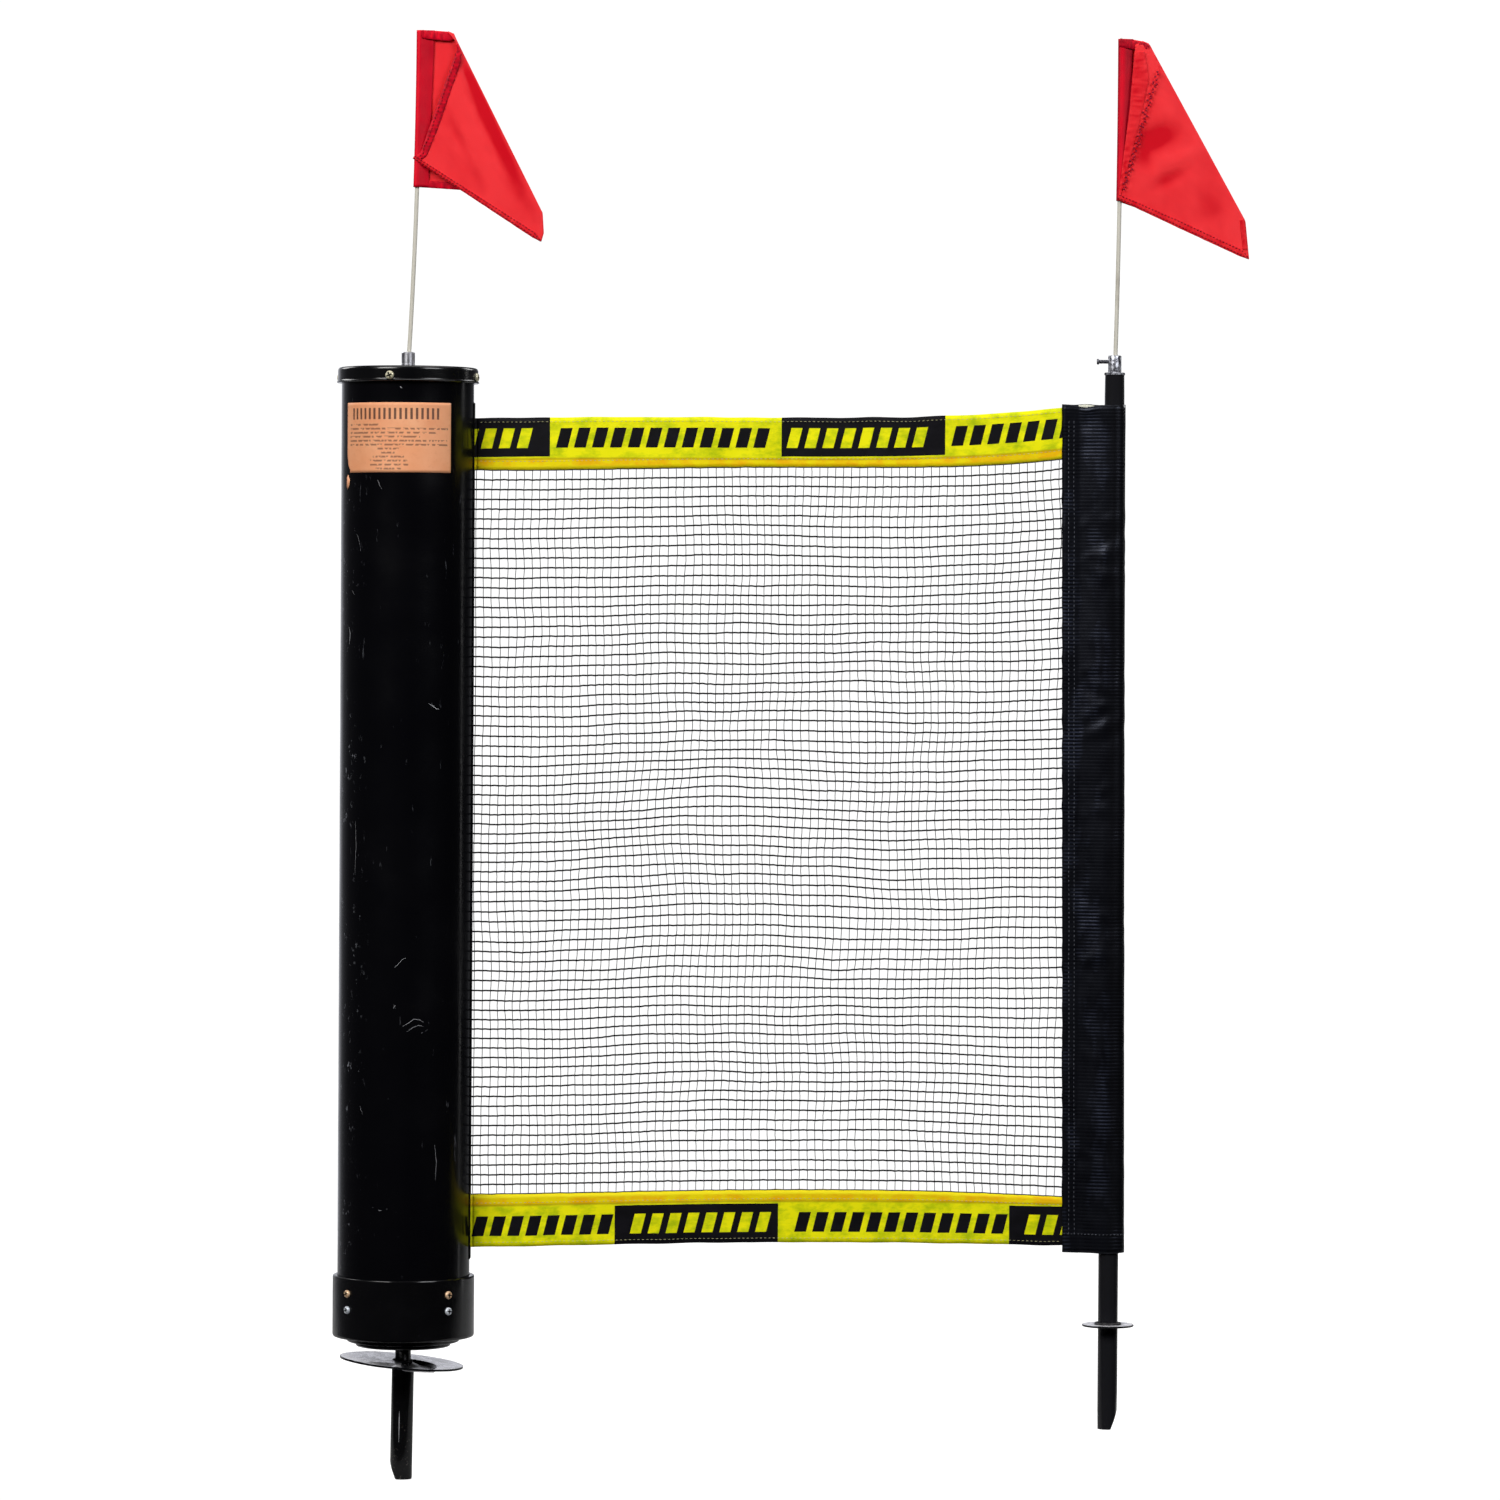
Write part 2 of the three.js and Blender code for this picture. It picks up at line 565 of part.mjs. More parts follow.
export default part;
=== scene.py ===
import math
from math import cos, pi, radians, sin

import bmesh
import bpy
import numpy as np
from mathutils import Matrix, Vector, noise

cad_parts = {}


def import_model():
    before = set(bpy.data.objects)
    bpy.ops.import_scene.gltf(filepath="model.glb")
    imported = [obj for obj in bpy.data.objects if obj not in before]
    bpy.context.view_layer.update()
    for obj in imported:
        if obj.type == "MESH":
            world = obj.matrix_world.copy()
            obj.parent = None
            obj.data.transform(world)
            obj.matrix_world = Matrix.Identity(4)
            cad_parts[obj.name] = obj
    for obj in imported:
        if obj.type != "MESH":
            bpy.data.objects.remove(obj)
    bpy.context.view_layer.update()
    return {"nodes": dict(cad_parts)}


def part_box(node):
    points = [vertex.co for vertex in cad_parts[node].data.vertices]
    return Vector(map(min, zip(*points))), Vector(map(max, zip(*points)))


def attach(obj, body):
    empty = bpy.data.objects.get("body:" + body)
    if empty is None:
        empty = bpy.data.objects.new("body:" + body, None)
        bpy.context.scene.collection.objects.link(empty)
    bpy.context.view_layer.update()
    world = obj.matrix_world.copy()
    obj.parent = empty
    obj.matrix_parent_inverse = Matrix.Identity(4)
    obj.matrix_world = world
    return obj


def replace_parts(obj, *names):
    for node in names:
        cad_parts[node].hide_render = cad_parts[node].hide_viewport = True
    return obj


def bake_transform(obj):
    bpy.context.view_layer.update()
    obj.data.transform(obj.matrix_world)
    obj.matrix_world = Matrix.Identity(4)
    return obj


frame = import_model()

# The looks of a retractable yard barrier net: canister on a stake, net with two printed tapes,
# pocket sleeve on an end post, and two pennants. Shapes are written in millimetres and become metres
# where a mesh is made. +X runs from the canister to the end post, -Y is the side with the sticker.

MM = 0.001


def box_mm(node):
    """Lowest and highest corner of a CAD node, in millimetres."""
    low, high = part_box(node)
    return low / MM, high / MM


# ---- sizes taken from the frame -------------------------------------------------------------------

TUBE_LOW, TUBE_HIGH = box_mm("canister_tube")
TUBE_RADIUS = 63.5
TUBE_WALL = 3.2
CAP_LOW, CAP_HIGH = box_mm("top_cap")
COLLAR_LOW, COLLAR_HIGH = box_mm("collar")
PLUG_LOW, _ = box_mm("end_plug")
_, FERRULE_HIGH = box_mm("flag_ferrule")
POST_LOW, POST_HIGH = box_mm("post_tube")
POST_X = (POST_LOW.x + POST_HIGH.x) / 2
POST_RADIUS = (POST_HIGH.y - POST_LOW.y) / 2
DISC_LOW, DISC_HIGH = box_mm("post_foot_disc")
_, FITTING_HIGH = box_mm("post_top_fitting")
THUMB_LOW, THUMB_HIGH = box_mm("thumb_screw")
STAKE_LOW, _ = box_mm("ground_stake")
STICKER_LOW, STICKER_HIGH = box_mm("front_sticker")
SLEEVE_LOW, SLEEVE_HIGH = box_mm("pocket_sleeve")

SLOT_HALF = 8
SLOT_LOW, SLOT_HIGH = 100, 922
CAP_RADIUS, COLLAR_RADIUS = 67.2, 68
# Name, height, first one's angle from +X, distance of the seat, head radius and look of four screws each.
SCREW_RINGS = [
    ("cap_screw", 945.5, -102, CAP_RADIUS, 4.15, "pale_brass"),
    ("collar_screw_upper", 70, -138.2, COLLAR_RADIUS, 3.75, "brass"),
    ("collar_screw_lower", 54.5, -138.2, COLLAR_RADIUS, 3.75, "zinc"),
]
SCREW_HEAD_HEIGHT = 2.3
STICKER_ANGLES = (-150.6, -47.3)

PLATE_TILT = 5.2  # this and the stake's lean in degrees
PLATE_RADIUS = 59.5
PLATE_HOLE = 8.2
PLATE_TOP, PLATE_UNDERSIDE = 1.6, -0.4
PLATE_OFFSET = -1.5
STAKE_LEAN = 0.8
PIPE_RADIUS, PIPE_BORE = 10.65, 7.9

# Heights of the tapes' edges at these distances from the canister's axis.
TAPE_STATIONS = (66.3, 190, 318, 450, 630)
TOP_TAPE = {"upper": (907.2, 909.1, 909.6, 910.4, 921.1), "lower": (857.8, 859.2, 861.8, 862.6, 872.0)}
BOTTOM_TAPE = {"upper": (161.9, 164.6, 167.6, 168.3, 163.1), "lower": (111.2, 114.2, 117.1, 118.0, 116.3)}
NET_ROOT, NET_PIVOT, NET_TO = 60, 66, 640  # inside the slot, at its mouth, and inside the pocket's seam
NET_ROWS = 73
ALONG_RADIUS, UPRIGHT_RADIUS = 0.78, 0.45  # of the net's threads
TAPE_THICKNESS, TAPE_CORD_RADIUS = 1.3, 0.75
PRINT_PERIOD = 379
TOP_PRINT_START, BOTTOM_PRINT_START = 358.3, 202.7

SLEEVE_LEFT_TOP, SLEEVE_LEFT_BOTTOM = 627, 632.9
SLEEVE_SEAM = 642
SLEEVE_HEM = 18
POCKET_THICKNESS, PENNANT_THICKNESS, STICKER_THICKNESS = 0.7, 0.35, 0.12

ROD_RADIUS = 2.05
ROD_TOP = 1275
# A rod's x at its socket's mouth, that mouth's height, its lean towards +X, and how it curves back from it.
LEFT_ROD = {"foot": 0.8, "socket": 970, "slope": 0.0567, "bow": 8.7e-5}
RIGHT_ROD = {"foot": POST_X + 0.6, "socket": 971, "slope": 0.0258, "bow": 4.6e-5}


# ---- node materials -------------------------------------------------------------------------------


class Graph:
    """A Principled material being put together from nodes. Lengths in it are metres."""

    def __init__(self, name, **sockets):
        self.material = bpy.data.materials.new(name)
        self.material.use_nodes = True
        self.tree = self.material.node_tree
        self.bsdf = self.tree.nodes["Principled BSDF"]
        for socket, value in sockets.items():
            self.bsdf.inputs[socket.replace("_", " ")].default_value = value

    def put(self, socket, value):
        """Links a socket to another one's output, or sets it to a plain value."""
        if isinstance(value, bpy.types.NodeSocket):
            self.tree.links.new(value, socket)
        else:
            socket.default_value = value

    def node(self, kind, inputs=(), **settings):
        made = self.tree.nodes.new("ShaderNode" + kind)
        for key, value in settings.items():
            setattr(made, key, value)
        for key, value in dict(inputs).items():
            self.put(made.inputs[key], value)
        return made

    def place(self, scale=(1, 1, 1), kind="Object"):
        coords = self.node("TexCoord").outputs[kind]
        return self.node("Mapping", {"Vector": coords, "Scale": scale}).outputs["Vector"]

    def noise(self, vector, scale, detail=3, roughness=0.55):
        inputs = {"Vector": vector, "Scale": scale, "Detail": detail, "Roughness": roughness}
        return self.node("TexNoise", inputs).outputs["Fac"]

    def cells(self, vector, scale, output="Color"):
        return self.node("TexVoronoi", {"Vector": vector, "Scale": scale}).outputs[output]

    def ramp(self, value, low, high, low_out=0.0, high_out=1.0):
        """Goes from low_out to high_out while the value goes from low to high."""
        inputs = {0: value, 1: low, 2: high, 3: low_out, 4: high_out}
        return self.node("MapRange", inputs, clamp=True).outputs[0]

    def math(self, operation, a, b=0.0):
        return self.node("Math", {0: a, 1: b}, operation=operation).outputs[0]

    def times(self, a, b):
        return self.math("MULTIPLY", a, b)

    def plus(self, a, b):
        return self.math("ADD", a, b)

    def mix(self, factor, a, b):
        made = self.node("Mix", data_type="RGBA")
        for key, value in ((0, factor), (6, a), (7, b)):
            self.put(made.inputs[key], value)
        return made.outputs[2]

    def color(self, value):
        self.put(self.bsdf.inputs["Base Color"], value)

    def roughness(self, value):
        self.put(self.bsdf.inputs["Roughness"], value)

    def bump(self, height, strength, distance):
        inputs = {"Height": height, "Strength": strength, "Distance": distance * MM}
        made = self.node("Bump", inputs)
        self.put(self.bsdf.inputs["Normal"], made.outputs["Normal"])


def rgb(red, green, blue):
    """Display values from 0 to 255 as a linear colour."""
    def linear(value):
        value /= 255
        return value / 12.92 if value <= 0.04045 else ((value + 0.055) / 1.055) ** 2.4

    return (linear(red), linear(green), linear(blue), 1)


def black_tube():
    """Gloss black plastic with faint extrusion lines, handling scuffs, and worn patches on one flank."""
    g = Graph("black_tube", Specular_IOR_Level=0.28)
    place = g.place()
    blotch = g.noise(place, 14, 4)
    lines = g.noise(g.place((260, 260, 3)), 1, 2)
    hair = g.noise(g.place((90, 90, 16)), 1.6, 6, 0.7)
    hairline = g.ramp(hair, 0.66, 0.7)
    x, y, _ = g.node("SeparateXYZ", {0: place}).outputs
    flank = g.ramp(g.plus(g.times(x, -1.0), g.times(y, -0.42)), 0.055, 0.066)
    chips = g.ramp(g.noise(g.place((150, 150, 95)), 1, 8, 0.72), 0.6, 0.66)
    along = g.ramp(g.noise(g.place((9, 9, 14)), 1, 3), 0.45, 0.6)
    worn = g.times(g.times(flank, chips), along)
    marks = g.math("MAXIMUM", worn, g.times(hairline, 0.25))
    g.color(g.mix(marks, rgb(6, 6, 9), rgb(128, 130, 138)))
    g.roughness(g.plus(g.ramp(blotch, 0.35, 0.7, 0.16, 0.27), g.times(marks, 0.4)))
    g.bump(g.plus(lines, g.times(marks, 1.5)), 0.12, 0.25)
    return g.material


def black_moulding():
    """Smooth black moulded plastic with a little dust."""
    g = Graph("black_moulding", Specular_IOR_Level=0.5)
    place = g.place()
    grain = g.noise(place, 900, 2)
    dust = g.ramp(g.noise(place, 300, 5, 0.7), 0.68, 0.76)
    g.color(g.mix(g.times(dust, 0.2), rgb(9, 9, 11), rgb(120, 120, 124)))
    g.roughness(g.ramp(g.noise(place, 30, 4), 0.35, 0.7, 0.15, 0.26))
    g.bump(grain, 0.06, 0.12)
    return g.material


def black_paint(name, base):
    """Satin black paint on steel pipe, with chips and dried soil towards the ground."""
    g = Graph(name, Specular_IOR_Level=0.28)
    place = g.place()
    height = g.node("SeparateXYZ", {0: place}).outputs[2]
    low = g.ramp(height, -0.05, -0.11)
    speck = g.ramp(g.noise(place, 330, 6, 0.75), 0.61, 0.66)
    soil = g.times(speck, g.times(low, 0.5))
    g.color(g.mix(soil, base, rgb(160, 152, 142)))
    g.roughness(g.plus(g.ramp(g.noise(place, 60, 4), 0.3, 0.7, 0.1, 0.2), soil))
    g.bump(g.noise(place, 420, 3), 0.2, 0.3)
    return g.material


def galvanised():
    """Zinc coating: crystals of slightly different brightness and dark specks, with painted shade,
    near-black, on faces that don't point up or down, and painted shade and a stain where the shade
    attribute says.
    """
    g = Graph("galvanised", Metallic=0.5)
    place = g.place()
    spangle = g.node("SeparateXYZ", {0: g.cells(place, 210)}).outputs[0]
    cloud = g.noise(place, 45, 5, 0.6)
    patches = g.times(g.plus(spangle, cloud), 0.5)
    shade = g.mix(patches, rgb(226, 224, 233), rgb(255, 254, 255))
    speck = g.ramp(g.noise(place, 420, 4, 0.7), 0.62, 0.68)
    shade = g.mix(g.times(speck, 0.4), shade, rgb(110, 108, 116))
    # The shade attribute: painted reflection in the plate's dent, painted shade on the outer rings of plate
    # and disc, and a stain round the disc's weld.
    painted_shade_and_stain = g.node("Attribute", attribute_name="shade").outputs["Fac"]
    shade = g.mix(painted_shade_and_stain, rgb(34, 34, 38), shade)
    # Painted shade: faces that don't point up or down, the edges, are coloured near-black.
    upright = g.node("SeparateXYZ", {0: g.node("NewGeometry").outputs["Normal"]}).outputs[2]
    face = g.ramp(g.math("ABSOLUTE", upright), 0.86, 0.92)
    g.color(g.mix(face, rgb(20, 20, 24), shade))
    g.roughness(g.ramp(spangle, 0, 1, 0.22, 0.34))
    g.bump(cloud, 0.05, 0.1)
    return g.material


def metal(name, light, dark, rough, scratch=(500, 500, 40), stained=(0.35, 0.7), metallic=1.0):
    """Metal between two colours, stained in patches, with fine lines stretched as scratch says."""
    g = Graph(name, Metallic=metallic)
    lines = g.noise(g.place(scratch), 1, 4, 0.65)
    stain = g.noise(g.place(), 190, 5, 0.65)
    g.color(g.mix(g.ramp(stain, *stained), light, dark))
    g.roughness(g.ramp(lines, 0.3, 0.75, rough * 0.8, rough * 1.5))
    g.bump(lines, 0.12, 0.12)
    return g.material


def nylon():
    """Natural white nylon."""
    g = Graph("nylon", Specular_IOR_Level=0.4, Subsurface_Weight=0.1)
    place = g.place()
    g.color(g.mix(g.noise(place, 60, 4), rgb(222, 218, 204), rgb(240, 238, 228)))
    g.roughness(g.ramp(g.noise(place, 200, 3), 0.3, 0.7, 0.4, 0.6))
    g.bump(g.noise(place, 700, 2), 0.1, 0.1)
    return g.material


def bars(g, along, pitch, share):
    """1 on evenly spaced bars that cover a share of each pitch."""
    return g.math("LESS_THAN", g.math("FRACT", g.math("DIVIDE", along, pitch)), share)


def between(g, value, low, high):
    """1 where the value lies between low and high, else 0."""
    return g.times(g.math("GREATER_THAN", value, low), g.math("LESS_THAN", value, high))


def every(g, *masks):
    """1 where all the masks are 1."""
    made = masks[0]
    for mask in masks[1:]:
        made = g.times(made, mask)
    return made


# The sticker's marks, in metres from its lower left corner. The last six small rows share a middle.
HEADING_LOW, HEADING_HIGH, HEADING_LEFT, HEADING_RIGHT = 0.0505, 0.0612, 0.0104, 0.1035
HEADING_PITCH, HEADING_SHARE = 0.0052, 0.44
ROW_TOP, ROW_PITCH, ROW_HEIGHT = 0.0462, 0.0038, 0.0017
STICKER_ROWS = [  # where each row starts and ends
    (0.006, 0.042), (0.006, 0.111), (0.006, 0.098), (0.006, 0.082), (0.006, 0.110), (0.006, 0.111),
    (0.041, 0.062), (0.045, 0.058), (0.036, 0.067), (0.033, 0.070), (0.033, 0.071), (0.039, 0.064),
]


def sticker():
    """Orange paper with rows of plain grey bars where a real one is printed. U and V are in metres."""
    g = Graph("sticker", Specular_IOR_Level=0.35)
    u, v, _ = g.node("SeparateXYZ", {0: g.node("UVMap").outputs[0]}).outputs
    paper = g.noise(g.place(kind="UV"), 260, 5, 0.6)
    fade = g.noise(g.place(kind="UV"), 30, 3)
    words = g.ramp(g.noise(g.place((330, 260, 1), kind="UV"), 1, 0), 0.44, 0.46)
    tall, wide = between(g, v, HEADING_LOW, HEADING_HIGH), between(g, u, HEADING_LEFT, HEADING_RIGHT)
    head = every(g, tall, wide, bars(g, u, HEADING_PITCH, HEADING_SHARE))
    rows = 0.0
    for k, (left, right) in enumerate(STICKER_ROWS):
        top = ROW_TOP - ROW_PITCH * k
        row = every(g, between(g, v, top - ROW_HEIGHT, top), between(g, u, left, right))
        rows = row if k == 0 else g.math("MAXIMUM", rows, row)
    rows = g.times(rows, words)
    ink = g.math("MAXIMUM", head, g.times(rows, 0.7))
    base = g.mix(g.ramp(fade, 0.3, 0.7), rgb(246, 164, 116), rgb(255, 184, 138))
    base = g.mix(g.ramp(paper, 0.55, 0.75, 0, 0.25), base, rgb(206, 122, 82))
    g.color(g.mix(g.times(ink, 0.85), base, rgb(60, 40, 36)))
    g.roughness(g.ramp(paper, 0.3, 0.7, 0.42, 0.62))
    g.bump(paper, 0.15, 0.12)
    return g.material


BAR_PITCH = 0.0172
BARS_LOW, BARS_HIGH = 0.0102, 0.0292
BLOCK_LENGTH, BLOCK_HEIGHT = 0.157, 0.0375
BLOCK_BARS, GAP_BARS = (0.012, 0.149), (0.170, 0.3755)  # where the bars on and between the blocks run
FOLD_LINE = 0.0398  # between the yellow field and the golden strip


def tape_bars(g, leaning, height, ends, share):
    """Slanted bars between two places along the print, where height is 1."""
    stretch = between(g, leaning, *ends)
    return every(g, stretch, height, bars(g, g.math("SUBTRACT", leaning, ends[0]), BAR_PITCH, share))


def tape(name, print_start, slant):
    """Neon woven tape: black blocks with slanted yellow bars, slanted black bars between the blocks, and
    a golden strip on the net's side. U runs along the tape, V from its outer edge, both in metres."""
    g = Graph(name, Specular_IOR_Level=0.15)
    uv = g.node("UVMap").outputs[0]
    u, v, _ = g.node("SeparateXYZ", {0: uv}).outputs
    patches = g.noise(g.place((38, 60, 1), kind="UV"), 1.3, 5, 0.62)
    streaks = g.noise(g.place((20, 330, 1), kind="UV"), 1, 4, 0.6)
    field = g.mix(g.ramp(patches, 0.42, 0.68), rgb(255, 250, 0), rgb(186, 206, 0))
    field = g.mix(g.ramp(streaks, 0.55, 0.75, 0, 0.5), field, rgb(252, 248, 20))
    gold = g.mix(g.ramp(patches, 0.42, 0.62), rgb(255, 232, 0), rgb(255, 196, 0))
    gold = g.mix(g.ramp(v, 0.0455, 0.0475), gold, rgb(255, 236, 20))
    inner = g.ramp(v, 0.0385, 0.0405)
    cloth = g.mix(inner, field, gold)
    # Painted shade: the cloth is darkened along the fold between the yellow field and the golden strip.
    crease = g.ramp(g.math("ABSOLUTE", g.math("SUBTRACT", v, FOLD_LINE)), 0.0, 0.0018, 0.55, 0)
    cloth = g.mix(crease, cloth, rgb(150, 120, 8))
    period = PRINT_PERIOD * MM
    turn = g.math("SUBTRACT", u, (print_start - 3 * PRINT_PERIOD) * MM)
    along = g.times(g.math("FRACT", g.math("DIVIDE", turn, period)), period)
    leaning = g.plus(along, g.times(v, slant))
    block = every(g, g.math("LESS_THAN", along, BLOCK_LENGTH), between(g, v, -0.002, BLOCK_HEIGHT))
    height = between(g, v, BARS_LOW, BARS_HIGH)
    inside = tape_bars(g, leaning, height, BLOCK_BARS, 0.62)
    outside = tape_bars(g, leaning, height, GAP_BARS, 0.66)
    ink = g.math("MAXIMUM", g.math("SUBTRACT", block, inside), outside)
    weave_at = g.place((1, 1, 1), kind="UV")
    weave = g.node("TexWave", {"Vector": weave_at, "Scale": 420.0, "Distortion": 1.5}).outputs[1]
    black = g.mix(g.ramp(patches, 0.4, 0.7), rgb(4, 3, 8), rgb(14, 12, 20))
    g.color(g.mix(ink, cloth, black))
    g.roughness(g.ramp(weave, 0, 1, 0.5, 0.72))
    g.bump(g.plus(g.times(weave, 0.4), patches), 0.35, 0.5)
    return g.material


def net_cord():
    """The net's black twisted twine."""
    g = Graph("net_cord", Specular_IOR_Level=0.1)
    twist = g.noise(g.place((500, 500, 500)), 1, 3)
    g.color(g.mix(twist, rgb(4, 4, 6), rgb(26, 26, 29)))
    g.roughness(g.ramp(twist, 0.3, 0.7, 0.6, 0.8))
    g.bump(twist, 0.5, 0.2)
    return g.material


def rolled_net():
    """The turns of net on the roller, as they show through the slot."""
    g = Graph("rolled_net", Specular_IOR_Level=0.2)
    place = g.place()
    knots = g.cells(place, 150, "Distance")
    g.color(g.mix(knots, rgb(24, 24, 26), rgb(84, 84, 88)))
    g.roughness(g.ramp(knots, 0, 1, 0.65, 0.85))
    g.bump(knots, 0.6, 1.0)
    return g.material


def black_fabric():
    """Coated black polyester: a fine horizontal rib that catches the light in patches, with a painted
    highlight on its crests there, and creases, painted darker in their hollows as shade. U goes round the
    pocket, V up it."""
    g = Graph("black_fabric", Specular_IOR_Level=0.27, Specular_Tint=rgb(220, 228, 255))
    rib_at = g.place((6, 400, 1), kind="UV")
    ribs_in = {"Vector": rib_at, "Scale": 0.23, "Distortion": 0.9}
    rib = g.node("TexWave", ribs_in, bands_direction="Y").outputs[1]
    crest = g.math("POWER", rib, 3.0)
    patch = g.ramp(g.noise(g.place((34, 13, 1), kind="UV"), 1, 3, 0.6), 0.5, 0.66)
    crease = g.noise(g.place((30, 22, 1), kind="UV"), 1, 5, 0.6)
    weave = g.noise(g.place((900, 900, 1), kind="UV"), 1, 2)
    # Painted highlight on the rib crests, in patches, turned down over the post.
    lit = g.times(g.times(crest, patch), 0.6)
    u = g.node("SeparateXYZ", {0: g.node("UVMap").outputs[0]}).outputs[0]
    beside = g.ramp(u, 0.043, 0.049, 1, 0.15)
    lit = g.times(lit, beside)
    # Painted shade: darker in the creases' hollows, and a plain near-black over the post.
    dark = g.mix(beside, rgb(10, 10, 12), g.mix(crease, rgb(6, 6, 9), rgb(11, 12, 17)))
    g.color(g.mix(lit, dark, rgb(64, 70, 90)))
    g.roughness(g.plus(g.ramp(rib, 0, 1, 0.24, 0.36), g.ramp(crease, 0.35, 0.65, 0, 0.08)))
    ribs = g.times(crest, g.plus(g.times(patch, 0.4), 0.12))
    height = g.plus(ribs, g.plus(crease, g.times(weave, 0.1)))
    g.bump(height, 0.3, 1.0)
    return g.material


def flag_cloth():
    """Red satin nylon: close weave, soft sheen, light coming through."""
    g = Graph("flag_cloth", Specular_IOR_Level=0.12)
    uv = g.place(kind="UV")
    threads = {"Vector": uv, "Scale": 800.0, "Distortion": 0.5}
    weave = g.node("TexWave", threads).outputs[1]
    cross = g.node("TexWave", threads, bands_direction="Y").outputs[1]
    cloud = g.noise(uv, 24, 4)
    # The shade attribute is painted shade: darker in the folds' hollows and between seam puckers, lighter
    # where the cloth stands out.
    fold = g.node("Attribute", attribute_name="shade").outputs["Fac"]
    painted_shade_and_tone = g.plus(fold, g.ramp(cloud, 0.3, 0.7, -0.12, 0.12))
    g.color(g.mix(g.ramp(painted_shade_and_tone, 0, 1), rgb(218, 0, 26), rgb(255, 54, 60)))
    g.roughness(g.ramp(cloud, 0.3, 0.7, 0.42, 0.55))
    g.bump(g.plus(g.times(g.plus(weave, cross), 0.2), cloud), 0.25, 0.4)
    g.bsdf.inputs["Subsurface Weight"].default_value = 0.15
    g.bsdf.inputs["Subsurface Radius"].default_value = (0.004, 0.0008, 0.0008)
    return g.material


def flag_painted_shade():
    """The pennant's pole sleeve and hems: a darker copy of the flag cloth, painted shade for the several
    layers of nylon that let less light through.
    """
    g = Graph("flag_painted_shade", Specular_IOR_Level=0.12)
    cloud = g.noise(g.place(kind="UV"), 40, 4)
    # The shade attribute paints highlight and shade on the sleeve and hems.
    fold = g.node("Attribute", attribute_name="shade").outputs["Fac"]
    painted_shade_and_tone = g.plus(fold, g.ramp(cloud, 0.3, 0.7, -0.12, 0.12))
    g.color(g.mix(g.ramp(painted_shade_and_tone, 0, 1), rgb(158, 0, 28), rgb(252, 14, 44)))
    g.roughness(g.ramp(cloud, 0.3, 0.7, 0.42, 0.55))
    g.bump(cloud, 0.25, 0.4)
    return g.material


def white_rod():
    """Fibreglass rod: cream, with long fibres and grey handling marks."""
    g = Graph("white_rod", Specular_IOR_Level=0.5)
    fibre = g.noise(g.place((900, 900, 25)), 1, 4, 0.6)
    dirt = g.ramp(g.noise(g.place((120, 120, 40)), 1, 4), 0.55, 0.75, 0, 0.45)
    g.color(g.mix(dirt, g.mix(fibre, rgb(204, 200, 186), rgb(222, 218, 206)), rgb(146, 138, 124)))
    g.roughness(g.ramp(fibre, 0.3, 0.7, 0.32, 0.5))
    g.bump(fibre, 0.15, 0.1)
    return g.material


def thread(name, dark, light):
    """Twisted sewing thread between two shades; the lining, the scratches and the stake's painted highlight
    use it too.
    """
    g = Graph(name, Specular_IOR_Level=0.3)
    twist = g.noise(g.place((700, 700, 700)), 1, 2)
    g.color(g.mix(twist, dark, light))
    g.roughness(g.ramp(twist, 0.3, 0.7, 0.55, 0.75))
    g.bump(twist, 0.3, 0.1)
    return g.material


def weld_bead():
    """Black paint, thin over rough weld metal."""
    g = Graph("weld_bead", Metallic=0.4)
    place = g.place()
    g.color(g.mix(g.noise(place, 300, 4), rgb(16, 16, 18), rgb(52, 50, 52)))
    g.roughness(g.ramp(g.noise(place, 200, 3), 0.3, 0.7, 0.35, 0.6))
    g.bump(g.noise(place, 350, 4), 0.5, 0.6)
    return g.material


